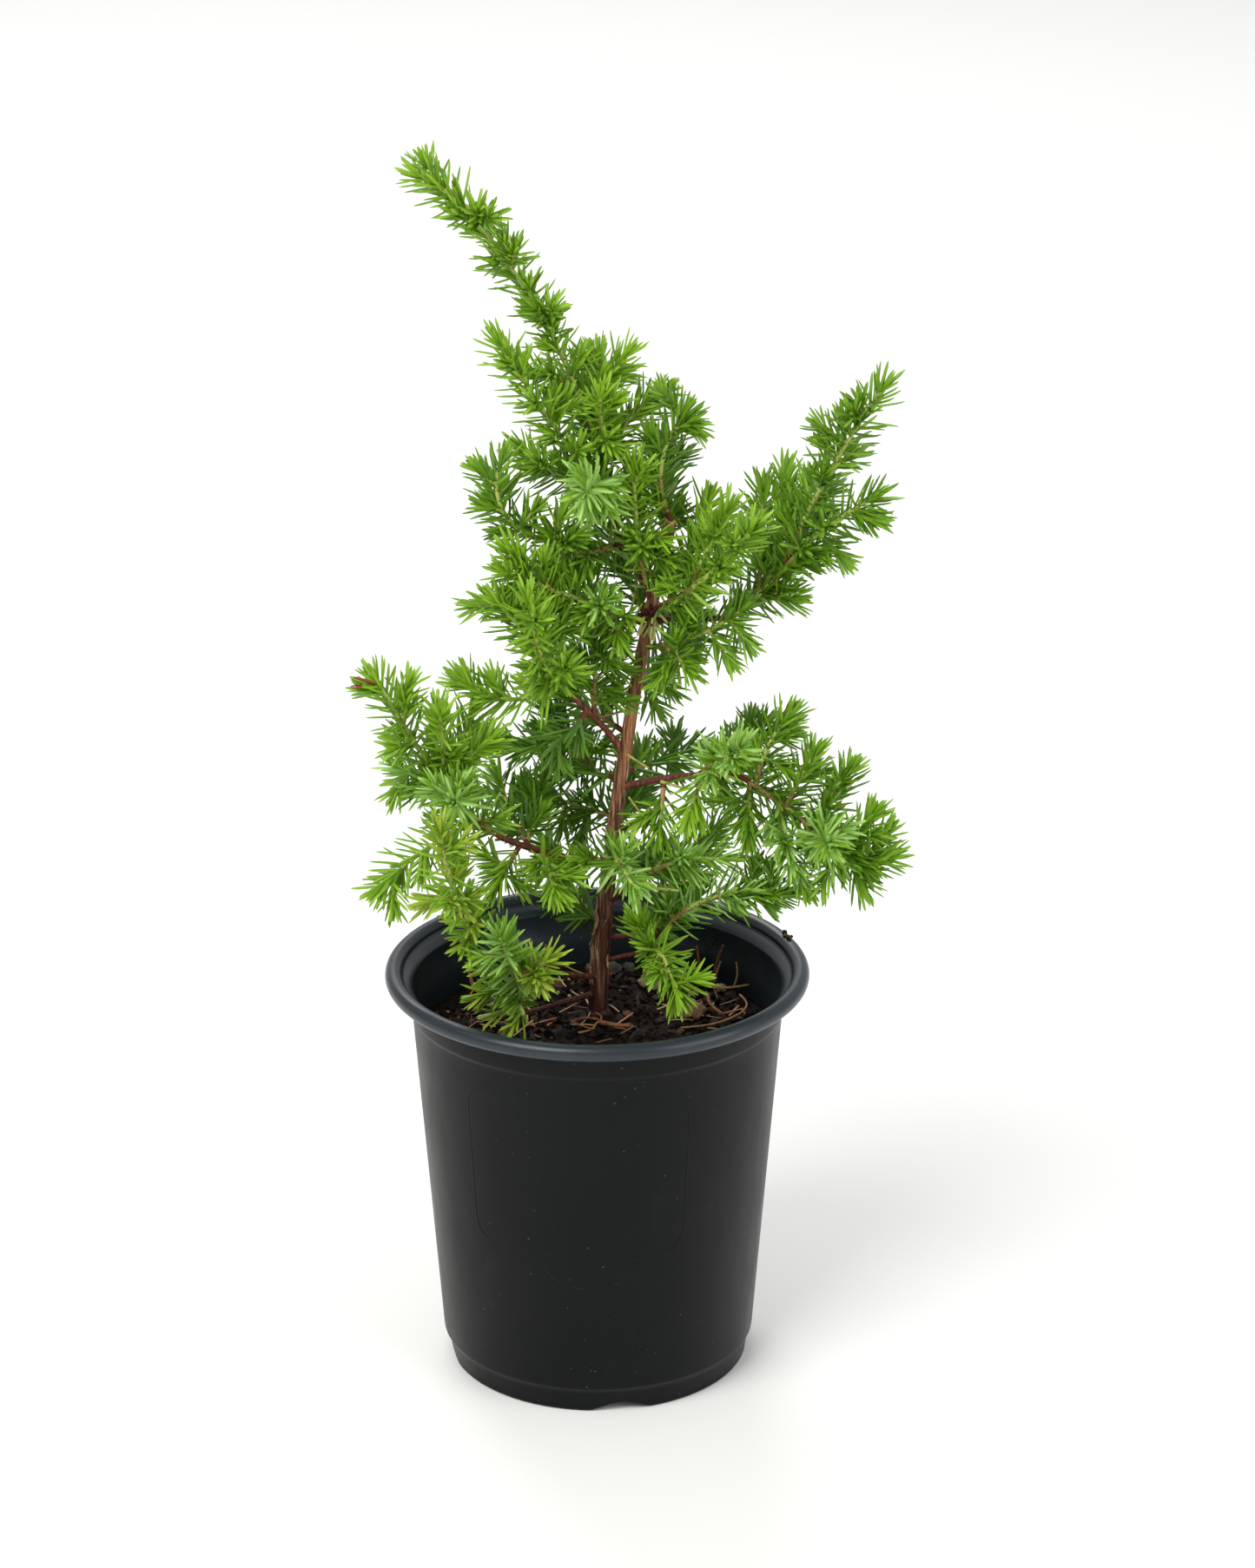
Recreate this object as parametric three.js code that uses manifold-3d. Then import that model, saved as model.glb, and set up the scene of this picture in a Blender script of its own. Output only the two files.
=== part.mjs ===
// A young shore juniper in its nursery pot: pot, soil, trunk, boughs and masses of needles.
// Millimetres, +Z up, the origin at the middle of the pot's flat underside, -Y towards the viewer.
import * as THREE from 'three';
import { mergeVertices } from 'three/addons/utils/BufferGeometryUtils.js';
import Module from 'manifold-3d';

const wasm = await Module();
wasm.setup();

// The pot: a 165 mm round nursery pot with a rolled lip, a stacking collar and a stepped foot.
const POT_HEIGHT = 164.5;
const POT_SIDES = 36;
const FOOT_RADIUS = 59;
const FOOT_HEIGHT = 11;
const WALL_FOOT_RADIUS = 61.6;
const WALL_TOP_RADIUS = 72.2;
const WALL_THICKNESS = 1.4;
const COLLAR_HEIGHT = 11;
const COLLAR_STEP = 0.9;
const LIP_OUTER_RADIUS = 82.5;
const LIP_THICKNESS = 6.6;
const LIP_POINTS = 8;
const LIP_START = -2.2;
const LIP_END = 3.3;
const LIP_UNDERCUT = 4.6;
const FOOT_ROUND = 1.5;
const FOOT_FLARE = 1.4;
const FOOT_STEP = 0.8;
const COLLAR_RISE = 1.5;
const COLLAR_FLARE = 0.4;
const COLLAR_THICKNESS = 1.2;
const FLOOR_THICKNESS = 4;
const NOTCH_COUNT = 4;
const NOTCH_WIDTH = 25;
const NOTCH_HEIGHT = 3.2;
const NOTCH_DEPTH = 9;
const NOTCH_BEARING = 279;
const NOTCH_SINK = 1;
const NOTCH_SEGMENTS = 5;

// The soil fills the pot to about 25 mm below the lip and rises a little towards the trunk.
const GAP = 0.3;
const SOIL_EDGE_HEIGHT = 136;
const SOIL_MIDDLE_HEIGHT = 139.7;
const SOIL_SIDES = 28;
const SOIL_SHOULDER = 0.6;
const SOIL_CROWN = 0.3;

// Wood: the trunk's foot, its taper and root flare, and how far a bough thins towards its tip.
const TRUNK_FOOT = new THREE.Vector3(0, 12, SOIL_MIDDLE_HEIGHT + GAP);
const TRUNK_TOP_RADIUS = 2.3;
const TRUNK_TAPER = 1.7;
const ROOT_FLARE = 1.4;
const FLARE_REACH = 0.04;
const LEVEL_FOOT = 1;
const TRUNK_SIDES = 10;
const TRUNK_RINGS = 12;
const BOUGH_SIDES = 6;
const BOUGH_RINGS = 6;
const BOUGH_TIP_SHARE = 0.65;
const LIMB_STEPS = 8;

// Needles: awl-shaped, in whorls of three, each whorl turned a sixth of a turn from the last.
const NEEDLE_LENGTH = 14.5;
const NEEDLE_ROOM = 1;
const CROSSING = 3;
const WHORL_SPACING = 3.5;
const WHORL_TURN = 60;
const SIDE_TURN = 120;
const NEEDLE_TURN = 90;
const LEAN_AT_FOOT = 64;
const LEAN_AT_TIP = 42;
const END_SHARE = 0.6;
const STEM_RADIUS = 1.8;
const ROOT_RADIUS = 0.9;
const TWIG_RADIUS = 1.7;
const TWIG_TIP_SHARE = 0.9;
const TWIG_SIDES = 3;
const SAMPLES = 8;
const TURN_JITTER = 12;
const LEAN_JITTER = 6;
const SHORTEST_NEEDLE = 0.85;
const LONGEST_NEEDLE = 1.1;

// Short side twigs that a seeded rule adds along every stem and named twig.
const SEED = 4711;
const SIDE_SPACING = 22;
const SIDE_LENGTH = 8;
const SIDE_SPREAD = 55;
const SIDE_RADIUS = 1.5;
const SIDE_ROOM = 5;
const SIDE_EARLIEST = 0.3;
const SIDE_LATEST = 0.8;
const SHORTEST_SIDE = 0.95;
const LONGEST_SIDE = 1.3;

// Limbs are described by where they leave their carrier (at, a share of its length), their length,
// the bearing and the rise of the line from foot to tip in degrees (bearing 0 right, 90 back,
// 180 left, 270 front), and how far the rise (lift) and the bearing (turn) change on the way.
const TRUNK = { length: 203, bearing: -3, rise: 82, lift: -10 };

const BOUGHS = {
  leader: { at: 0.84, length: 24, bearing: 168, rise: 62, radius: 1.9 },
  right_upper: { at: 0.8, length: 26, bearing: 0, rise: 2, radius: 1.8 },
  left_middle: { at: 0.53, length: 36, bearing: 208, rise: 48, lift: -13, radius: 1.6 },
  left_low: { at: 0.3, length: 44, bearing: 200, rise: 22, lift: 13, radius: 1.8 },
  right_middle: { at: 0.46, length: 45, bearing: 343, rise: 11, lift: -18, radius: 1.8 },
  right_low: { at: 0.22, length: 16, bearing: 329, rise: 41, radius: 1.4 },
  right_base: { at: 0.15, length: 20, bearing: 335, rise: 12, radius: 1.4 },
  left_base: { at: 0.07, length: 60, bearing: 216, rise: 30, lift: 30, turn: -20, radius: 1.5 },
  front_base: { at: 0.035, length: 30, bearing: 216, rise: 0, radius: 1.4 },
  right_floor: { at: 0.1, length: 20, bearing: 323, rise: 24, radius: 1.2 },
};

const MASSES = {
  leader: {
    on: 'leader', at: 1, length: 138, bearing: 182, rise: 66, lift: -30, turn: 12, shade: 'bright',
    twigs: [
      { at: 0.14, length: 38, bearing: 259, rise: 9, lift: -15 },
      { at: 0.18687, length: 28, bearing: 25, rise: 50, lift: -20 },
      { at: 0.18687, length: 32, bearing: 270, rise: 66, lift: -10 },
      { at: 0.23084, length: 36, bearing: 95, rise: 44 },
      { at: 0.11, length: 38, bearing: 203, rise: 29, lift: 31 },
      { at: 0.06, length: 79, bearing: 200, rise: 57, lift: 4, turn: -15 },
      { at: 0.36, length: 23, bearing: 17, rise: 47 },
      { at: 0.41771, length: 16, bearing: 185, rise: 22 },
      { at: 1, length: 19, bearing: 188, rise: 36, lift: -12 },
    ],
  },
  left_upper: {
    on: 'leader', at: 0.8, length: 35, bearing: 222, rise: 14, lift: 56, shade: 'middle',
    twigs: [{ at: 1, length: 41, bearing: 180, rise: 56, lift: 111 }],
  },
  stub_right: {
    on: 'trunk', at: 1, length: 41, bearing: 10, rise: 83, lift: -64, shade: 'middle',
  },
  stub_back: { on: 'trunk', at: 0.93, length: 40, bearing: 88, rise: 45, shade: 'dark' },
  front_upright: {
    on: 'trunk', at: 0.83, length: 51, bearing: 236, rise: 79, lift: 20, shade: 'bright',
  },
  front_right: {
    on: 'trunk', at: 0.82, length: 64, bearing: 314, rise: 40, lift: 20, shade: 'bright',
    twigs: [
      { at: 0.12, length: 39, bearing: 50, rise: 57 },
      { at: 0.3, length: 35, bearing: 345, rise: 65 },
    ],
  },
  front_left: {
    on: 'trunk', at: 0.79, length: 69, bearing: 217, rise: 27, lift: -2, shade: 'bright',
    twigs: [
      { at: 0.3, length: 24, bearing: 150, rise: 45 },
      { at: 0.31, length: 13, bearing: 265, rise: 22 },
      { at: 0.7, length: 21, bearing: 203, rise: 47 },
    ],
  },
  back_upper: {
    on: 'trunk', at: 0.8, length: 52, bearing: 118, rise: 42, lift: 20, shade: 'dark',
  },
  right_inner: {
    on: 'trunk', at: 0.745, length: 40, bearing: 340, rise: 27, lift: 28, shade: 'middle',
    twigs: [{ at: 0.12, length: 18, bearing: 300, rise: -12, lift: -15 }],
  },
  right_upper: {
    on: 'right_upper', at: 1, length: 26, bearing: 353, rise: 41, lift: 2, shade: 'middle',
    twigs: [
      { at: 0.45, length: 14, bearing: 350, rise: 2 },
      { at: 0.8, length: 47, bearing: 79, rise: 43, lift: 10 },
      { at: 0.9, length: 57, bearing: 327, rise: 43, lift: -19 },
      { at: 1, length: 85, bearing: 339, rise: 63, lift: -12 },
      { at: 0.9, length: 39, bearing: 55, rise: 54 },
      { at: 0.6, length: 41, bearing: 85, rise: 51 },
    ],
  },
  left_middle_rise: {
    on: 'left_middle', at: 1, length: 60, bearing: 254, rise: 50, lift: 42, shade: 'bright',
    twigs: [
      { at: 0.05, length: 39, bearing: 172, rise: -2, lift: 76 },
      { at: 0.15, length: 20, bearing: 285, rise: 30 },
      { at: 0.35, length: 30, bearing: 100, rise: 52 },
      { at: 0.61, length: 23, bearing: 190, rise: 51 },
    ],
  },
  left_middle_low: {
    on: 'left_middle', at: 0.57, length: 37, bearing: 158, rise: -29, lift: 70, shade: 'dark',
  },
  left_inner: { on: 'left_middle', at: 0.44, length: 29, bearing: 249, rise: 96, shade: 'dark' },
  back_inner: { on: 'trunk', at: 0.57, length: 34, bearing: 142, rise: 18, shade: 'dark' },
  back_right_middle: { on: 'trunk', at: 0.49, length: 36, bearing: 45, rise: 0, shade: 'dark' },
  back_right: {
    on: 'trunk', at: 0.66, length: 52, bearing: 60, rise: 26, lift: 20, shade: 'dark',
  },
  back_left: {
    on: 'trunk', at: 0.48, length: 44, bearing: 128, rise: -2, lift: 20, shade: 'dark',
    twigs: [{ at: 0.3, length: 30, bearing: 165, rise: 52 }],
  },
  back_middle: {
    on: 'trunk', at: 0.36, length: 52, bearing: 80, rise: 14, lift: 24, shade: 'dark',
    twigs: [{ at: 0.25, length: 32, bearing: 165, rise: 12 }],
  },
  back_right_low: {
    on: 'trunk', at: 0.3, length: 44, bearing: 35, rise: 0, lift: 20, shade: 'dark',
  },
  back_low: { on: 'trunk', at: 0.17, length: 46, bearing: 118, rise: 22, lift: 24, shade: 'dark' },
  left_low: {
    on: 'left_low', at: 1, length: 38, bearing: 209, rise: 47, lift: 15, shade: 'bright',
    twigs: [
      { at: 0.3, length: 8, bearing: 314, rise: 23 },
      { at: 0.32, length: 45, bearing: 186, rise: -34, lift: -26 },
      { at: 0.6, length: 36, bearing: 268, rise: 23, lift: -10 },
      { at: 0.85, length: 38, bearing: 85, rise: 113 },
      { at: 0.95, length: 26, bearing: 345, rise: 45, lift: -8 },
      { at: 1, length: 48, bearing: 203, rise: 61 },
      { at: 0.8, length: 20, bearing: 180, rise: 30 },
      { at: 0.92, length: 31, bearing: 59, rise: 48 },
    ],
  },
  left_low_front: {
    on: 'left_low', at: 0.6, length: 26, bearing: 282, rise: -10, lift: -15, shade: 'bright',
  },
  left_low_back: {
    on: 'left_low', at: 0.7, length: 36, bearing: 112, rise: 26, lift: 20, shade: 'dark',
    twigs: [{ at: 0.08, length: 27, bearing: 70, rise: 44 }],
  },
  left_low_under: {
    on: 'left_low', at: 0.8, length: 15, bearing: 215, rise: -52, shade: 'bright',
  },
  left_base: {
    on: 'left_base', at: 1, length: 67, bearing: 248, rise: 56, lift: 40, shade: 'yellow',
  },
  front_base: {
    on: 'front_base', at: 1, length: 56, bearing: 256, rise: 52, lift: -8, shade: 'yellow',
    twigs: [{ at: 0.4, length: 22, bearing: 313, rise: 37, turn: 27 }],
  },
  right_middle: {
    on: 'right_middle', at: 1, length: 56, bearing: 336, rise: -30, lift: -8, shade: 'middle',
    twigs: [
      { at: 0.06, length: 20, bearing: 269, rise: -50, lift: -20 },
      { at: 0.12, length: 29, bearing: 17, rise: 66, lift: -38 },
      { at: 0.3, length: 24, bearing: 287, rise: -47 },
      { at: 0.36, length: 21, bearing: 12, rise: 62 },
      { at: 0.63, length: 24, bearing: 17, rise: 61, lift: -2 },
      { at: 0.5, length: 21, bearing: 315, rise: -35 },
      { at: 0.62, length: 34, bearing: 276, rise: 12 },
      { at: 0.85, length: 14, bearing: 320, rise: -50 },
      { at: 0.85, length: 16, bearing: 0, rise: 52 },
      { at: 1, length: 11, bearing: 350, rise: 16 },
      { at: 1, length: 14, bearing: 10, rise: 49 },
    ],
  },
  right_front: {
    on: 'right_middle', at: 0.62, length: 38, bearing: 297, rise: 33, shade: 'bright',
    twigs: [{ at: 0.1, length: 18, bearing: 240, rise: -50 }],
  },
  right_behind: {
    on: 'right_middle', at: 0.75, length: 40, bearing: 74, rise: 2, lift: 20, shade: 'dark',
    twigs: [{ at: 0.4, length: 22, bearing: 20, rise: 26 }],
  },
  right_low: {
    on: 'right_low', at: 1, length: 34, bearing: 338, rise: 21, lift: -42, turn: 20, shade: 'middle',
  },
  right_base: {
    on: 'right_base', at: 1, length: 44, bearing: 340, rise: 32, lift: -46, shade: 'dark',
    twigs: [{ at: 0.7, length: 22, bearing: 344, rise: 7 }],
  },
  right_base_back: {
    on: 'right_base', at: 0.7, length: 38, bearing: 62, rise: 20, lift: 20, shade: 'dark',
  },
  right_floor: {
    on: 'right_floor', at: 1, length: 38, bearing: 287, rise: -6, lift: -80, shade: 'bright',
    twigs: [{ at: 0.08, length: 12, bearing: 227, rise: 66 }],
  },
  middle_front: {
    on: 'trunk', at: 0.31, length: 31, bearing: 285, rise: 3, lift: -47, turn: 16, shade: 'bright',
    twigs: [{ at: 0.1, length: 15, bearing: 204, rise: 5 }],
  },
  right_under: {
    on: 'right_middle', at: 0.32, length: 18, bearing: 262, rise: -56, shade: 'bright',
  },
};

const FINISHES = {
  pot: { color: '#26292c', roughness: 0.42 },
  soil: { color: '#2b1d15', roughness: 1 },
  bark: { color: '#7b4b36', roughness: 0.9 },
  bright: { color: '#7db53c', roughness: 0.5 },
  middle: { color: '#4f9231', roughness: 0.5 },
  dark: { color: '#356f2b', roughness: 0.55 },
  yellow: { color: '#98b544', roughness: 0.5 },
};

const plant = new THREE.Group();

function addPiece(name, geometry, finish) {
  const surface = { ...FINISHES[finish], metalness: 0, flatShading: true };
  const material = new THREE.MeshStandardMaterial(surface);
  const piece = new THREE.Mesh(geometry, material);
  piece.name = name;
  plant.add(piece);
}

function toSolid(geometry) {
  const bare = geometry.clone();
  bare.deleteAttribute('normal');
  bare.deleteAttribute('uv');
  const merged = mergeVertices(bare);
  return new wasm.Manifold(new wasm.Mesh({
    numProp: 3,
    vertProperties: new Float32Array(merged.attributes.position.array),
    triVerts: new Uint32Array(merged.index.array),
  }));
}

function toGeometry(solid) {
  const mesh = solid.getMesh();
  const geometry = new THREE.BufferGeometry();
  geometry.setAttribute('position', new THREE.BufferAttribute(mesh.vertProperties, 3));
  geometry.setIndex(new THREE.BufferAttribute(mesh.triVerts, 1));
  geometry.computeVertexNormals();
  return geometry;
}

function fuse(geometries) {
  return toGeometry(geometries.map(toSolid).reduce((whole, next) => whole.add(next)));
}

// The same numbers in the same order each time, from the seed alone.
function seededNumbers(seed) {
  let state = seed;
  return (low, high) => {
    state = (state * 48271) % 2147483647;
    return low + (high - low) * (state / 2147483647);
  };
}

function heading(bearing, rise) {
  const across = THREE.MathUtils.degToRad(bearing);
  const up = THREE.MathUtils.degToRad(rise);
  return new THREE.Vector3(
    Math.cos(up) * Math.cos(across), Math.cos(up) * Math.sin(across), Math.sin(up),
  );
}

// A limb's middle line, which turns evenly from the heading at its foot to the one at its tip.
function limbPath(foot, { length, bearing, rise, lift = 0, turn = 0 }) {
  const path = [foot.clone()];
  for (let step = 0; step < LIMB_STEPS; step++) {
    const share = (step + 0.5) / LIMB_STEPS - 0.5;
    const aim = heading(bearing + turn * share, rise + lift * share);
    path.push(path[step].clone().addScaledVector(aim, length / LIMB_STEPS));
  }
  return path;
}

function pointAlong(path, share) {
  const place = share * (path.length - 1);
  const step = Math.min(Math.floor(place), path.length - 2);
  return path[step].clone().lerp(path[step + 1], place - step);
}

function headingAlong(path, share) {
  const step = Math.min(Math.floor(share * (path.length - 1)), path.length - 2);
  return path[step + 1].clone().sub(path[step]).normalize();
}

// Where a limb of this radius starts, so that its flat foot stands the gap clear of its carrier's
// side, or of the edge of its carrier's tip.
function footOn(carrier, at, aim, radius) {
  const along = headingAlong(carrier.path, at);
  const place = pointAlong(carrier.path, at);
  const cosine = Math.abs(along.dot(aim));
  const sine = Math.sqrt(1 - cosine * cosine);
  const reach = carrier.radiusAt(at);
  const clear = at < 1 ? (reach + GAP + radius * cosine) / sine : GAP + reach * sine;
  return place.addScaledVector(aim, clear);
}

// A tapering solid round a path: a cylinder whose rings are moved out along the path.
function limbGeometry(path, radiusAt, sides, rings) {
  const geometry = new THREE.CylinderGeometry(1, 1, 1, sides, rings).rotateX(Math.PI / 2);
  const position = geometry.attributes.position;
  const curve = new THREE.CatmullRomCurve3(path);
  const level = new THREE.Vector3(0, 0, 1);
  const point = new THREE.Vector3();
  const swing = new THREE.Quaternion();
  for (let i = 0; i < position.count; i++) {
    point.fromBufferAttribute(position, i);
    const share = THREE.MathUtils.clamp(point.z + 0.5, 0, 1);
    swing.setFromUnitVectors(level, curve.getTangent(share));
    point.setZ(0).multiplyScalar(radiusAt(share)).applyQuaternion(swing).add(curve.getPoint(share));
    position.setXYZ(i, point.x, point.y, point.z);
  }
  return geometry;
}

// Pot

function potOutline() {
  const lipRadius = LIP_THICKNESS / 2;
  const lipMiddle = new THREE.Vector2(LIP_OUTER_RADIUS - lipRadius, POT_HEIGHT - lipRadius);
  const collarFoot = POT_HEIGHT - LIP_THICKNESS - COLLAR_HEIGHT;
  const collarRadius = WALL_TOP_RADIUS + COLLAR_STEP;
  const outline = [
    new THREE.Vector2(0, 0),
    new THREE.Vector2(FOOT_RADIUS - FOOT_ROUND, 0),
    new THREE.Vector2(FOOT_RADIUS, FOOT_ROUND),
    new THREE.Vector2(FOOT_RADIUS + FOOT_FLARE, FOOT_HEIGHT - FOOT_STEP),
    new THREE.Vector2(WALL_FOOT_RADIUS, FOOT_HEIGHT + FOOT_STEP),
    new THREE.Vector2(WALL_TOP_RADIUS, collarFoot),
    new THREE.Vector2(collarRadius, collarFoot + COLLAR_RISE),
    new THREE.Vector2(collarRadius + COLLAR_FLARE, POT_HEIGHT - LIP_THICKNESS - COLLAR_THICKNESS),
  ];
  // The rolled lip, from its underside round the outside to the inner edge of its top.
  for (let i = 0; i < LIP_POINTS; i++) {
    const angle = THREE.MathUtils.lerp(LIP_START, LIP_END, i / (LIP_POINTS - 1));
    outline.push(new THREE.Vector2(
      lipMiddle.x + lipRadius * Math.cos(angle), lipMiddle.y + lipRadius * Math.sin(angle),
    ));
  }
  outline.push(
    new THREE.Vector2(collarRadius + COLLAR_RISE, POT_HEIGHT - LIP_UNDERCUT),
    new THREE.Vector2(collarRadius - WALL_THICKNESS, POT_HEIGHT - LIP_THICKNESS - COLLAR_THICKNESS),
    new THREE.Vector2(collarRadius - WALL_THICKNESS, collarFoot + COLLAR_THICKNESS),
    new THREE.Vector2(WALL_TOP_RADIUS - WALL_THICKNESS, collarFoot - GAP),
    new THREE.Vector2(WALL_FOOT_RADIUS - WALL_THICKNESS, FOOT_HEIGHT),
    new THREE.Vector2(FOOT_RADIUS - WALL_THICKNESS, FLOOR_THICKNESS),
    new THREE.Vector2(0, FLOOR_THICKNESS),
  );
  return outline;
}

// An arched cutter that takes one drain notch out of the foot's edge.
function notchCutter(index) {
  const arch = new THREE.Shape();
  arch.moveTo(-NOTCH_WIDTH / 2, -NOTCH_SINK);
  arch.lineTo(NOTCH_WIDTH / 2, -NOTCH_SINK);
  arch.bezierCurveTo(
    NOTCH_WIDTH / 3, 0, NOTCH_WIDTH / 3, NOTCH_HEIGHT, 0, NOTCH_HEIGHT,
  );
  arch.bezierCurveTo(
    -NOTCH_WIDTH / 3, NOTCH_HEIGHT, -NOTCH_WIDTH / 3, 0, -NOTCH_WIDTH / 2, -NOTCH_SINK,
  );
  const cutter = new THREE.ExtrudeGeometry(arch, {
    depth: NOTCH_DEPTH * 2, bevelEnabled: false, curveSegments: NOTCH_SEGMENTS,
  });
  const bearing = NOTCH_BEARING + (index * 360) / NOTCH_COUNT;
  cutter.rotateX(Math.PI / 2).translate(0, FOOT_RADIUS + NOTCH_DEPTH, 0);
  return cutter.rotateZ(THREE.MathUtils.degToRad(bearing - 90));
}

function addPot() {
  let pot = toSolid(new THREE.LatheGeometry(potOutline(), POT_SIDES).rotateX(Math.PI / 2));
  for (let i = 0; i < NOTCH_COUNT; i++) {
    pot = pot.subtract(toSolid(notchCutter(i)));
  }
  addPiece('pot', toGeometry(pot), 'pot');
}

// Soil

function innerRadiusAt(height) {
  const top = POT_HEIGHT - LIP_THICKNESS - COLLAR_HEIGHT;
  const share = (height - FOOT_HEIGHT) / (top - FOOT_HEIGHT);
  return THREE.MathUtils.lerp(WALL_FOOT_RADIUS, WALL_TOP_RADIUS, share) - WALL_THICKNESS;
}

function soilHeightAt(radius) {
  const share = Math.min(radius / innerRadiusAt(SOIL_EDGE_HEIGHT), 1);
  return THREE.MathUtils.lerp(SOIL_MIDDLE_HEIGHT, SOIL_EDGE_HEIGHT, share * share);
}

function addSoil() {
  const clear = GAP * 2;
  const edge = innerRadiusAt(SOIL_EDGE_HEIGHT) - clear;
  const outline = [
    new THREE.Vector2(0, FLOOR_THICKNESS + GAP),
    new THREE.Vector2(FOOT_RADIUS - WALL_THICKNESS - clear, FLOOR_THICKNESS + GAP),
    new THREE.Vector2(WALL_FOOT_RADIUS - WALL_THICKNESS - clear, FOOT_HEIGHT + GAP),
    new THREE.Vector2(edge, SOIL_EDGE_HEIGHT),
    new THREE.Vector2(edge * SOIL_SHOULDER, soilHeightAt(edge * SOIL_SHOULDER)),
    new THREE.Vector2(edge * SOIL_CROWN, SOIL_MIDDLE_HEIGHT),
    new THREE.Vector2(0, SOIL_MIDDLE_HEIGHT),
  ];
  addPiece('soil', new THREE.LatheGeometry(outline, SOIL_SIDES).rotateX(Math.PI / 2), 'soil');
}

// Trunk and boughs

function trunkRadiusAt(share) {
  return TRUNK_TOP_RADIUS + TRUNK_TAPER * (1 - share) ** 2 + ROOT_FLARE * Math.exp(-share / FLARE_REACH);
}

function taper(radius, tipShare) {
  return (share) => THREE.MathUtils.lerp(radius, radius * tipShare, share);
}

const trunk = { path: limbPath(TRUNK_FOOT, TRUNK), radiusAt: trunkRadiusAt };
const limbs = { trunk };

function growBough(name, bough) {
  const aim = heading(bough.bearing - (bough.turn ?? 0) / 2, bough.rise - (bough.lift ?? 0) / 2);
  const foot = footOn(trunk, bough.at, aim, bough.radius);
  limbs[name] = { path: limbPath(foot, bough), radiusAt: taper(bough.radius, BOUGH_TIP_SHARE) };
}

function addWood() {
  const trunkGeometry = limbGeometry(trunk.path, trunkRadiusAt, TRUNK_SIDES, TRUNK_RINGS);
  levelFoot(trunkGeometry);
  addPiece('trunk', trunkGeometry, 'bark');
  for (const name of Object.keys(BOUGHS)) {
    const { path, radiusAt } = limbs[name];
    addPiece(`bough_${name}`, limbGeometry(path, radiusAt, BOUGH_SIDES, BOUGH_RINGS), 'bark');
  }
}

// The trunk's lowest ring is cut level, where it leaves the soil.
function levelFoot(geometry) {
  const position = geometry.attributes.position;
  for (let i = 0; i < position.count; i++) {
    if (position.getZ(i) < TRUNK_FOOT.z + LEVEL_FOOT) position.setZ(i, TRUNK_FOOT.z);
  }
}

// Masses of needles

// A mass's stem and its named twigs, which start on the stem's middle line.
function growLines(massName, mass) {
  const aim = heading(mass.bearing - (mass.turn ?? 0) / 2, mass.rise - (mass.lift ?? 0) / 2);
  const foot = footOn(limbs[mass.on], mass.at, aim, ROOT_RADIUS);
  const stem = { massName, path: limbPath(foot, mass), length: mass.length, radius: STEM_RADIUS };
  const twigs = (mass.twigs ?? []).map((twig) => ({
    massName,
    path: limbPath(pointAlong(stem.path, twig.at), twig),
    length: twig.length,
    radius: TWIG_RADIUS,
  }));
  return [stem, ...twigs];
}

const segment = new THREE.Line3();
const nearest = new THREE.Vector3();

function distanceToPath(point, path) {
  let least = Infinity;
  for (let i = 0; i < path.length - 1; i++) {
    segment.set(path[i], path[i + 1]).closestPointToPoint(point, true, nearest);
    least = Math.min(least, nearest.distanceTo(point));
  }
  return least;
}

function clearOfWood(point, halfWidth) {
  return Object.values(limbs).every(({ path, radiusAt }) => {
    const share = THREE.MathUtils.clamp((point.z - path[0].z) / (path.at(-1).z - path[0].z), 0, 1);
    const thickness = path === trunk.path ? radiusAt(share) : radiusAt(0);
    return distanceToPath(point, path) > thickness + halfWidth + GAP;
  });
}

function clearOfPot(point, halfWidth) {
  const radius = Math.hypot(point.x, point.y);
  const margin = halfWidth + GAP;
  if (point.z > POT_HEIGHT + margin) return true;
  return radius < innerRadiusAt(SOIL_EDGE_HEIGHT) - margin && point.z > soilHeightAt(radius) + margin;
}

function pointsBetween(foot, tip) {
  return Array.from({ length: SAMPLES }, (_, i) => foot.clone().lerp(tip, (i + 1) / SAMPLES));
}

// A needle grows only where all of it is nearer its own twig's line than any line of another mass,
// where it crosses few needles of its own mass, and clear of the wood, the soil and the pot.
function needleHasRoom(line, foot, tip) {
  return pointsBetween(foot, tip).every((point) => {
    if (!clearOfPot(point, NEEDLE_ROOM) || !clearOfWood(point, NEEDLE_ROOM)) return false;
    const own = distanceToPath(point, line.path);
    return lines.every((other) => {
      if (other === line) return true;
      const least = other.massName === line.massName ? own - CROSSING : own + 2 * NEEDLE_ROOM + GAP;
      return distanceToPath(point, other.path) > least;
    });
  });
}

// A side twig grows only where it stands well off every line but the one that carries it.
function twigHasRoom(line, foot, tip) {
  return pointsBetween(foot, tip).every((point) => (
    clearOfPot(point, SIDE_RADIUS) && clearOfWood(point, SIDE_RADIUS)
    && lines.every((other) => other === line || distanceToPath(point, other.path) > SIDE_ROOM)
  ));
}

// The direction square to a line at a share of its length, turned round it by an angle in degrees.
function squareTo(along, angle) {
  const round = THREE.MathUtils.degToRad(angle);
  const swing = new THREE.Quaternion().setFromUnitVectors(new THREE.Vector3(0, 0, 1), along);
  return new THREE.Vector3(Math.cos(round), Math.sin(round), 0).applyQuaternion(swing);
}

function leaning(along, angle, lean) {
  const tilt = THREE.MathUtils.degToRad(lean);
  const out = squareTo(along, angle);
  return along.clone().multiplyScalar(Math.cos(tilt)).addScaledVector(out, Math.sin(tilt));
}

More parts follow.
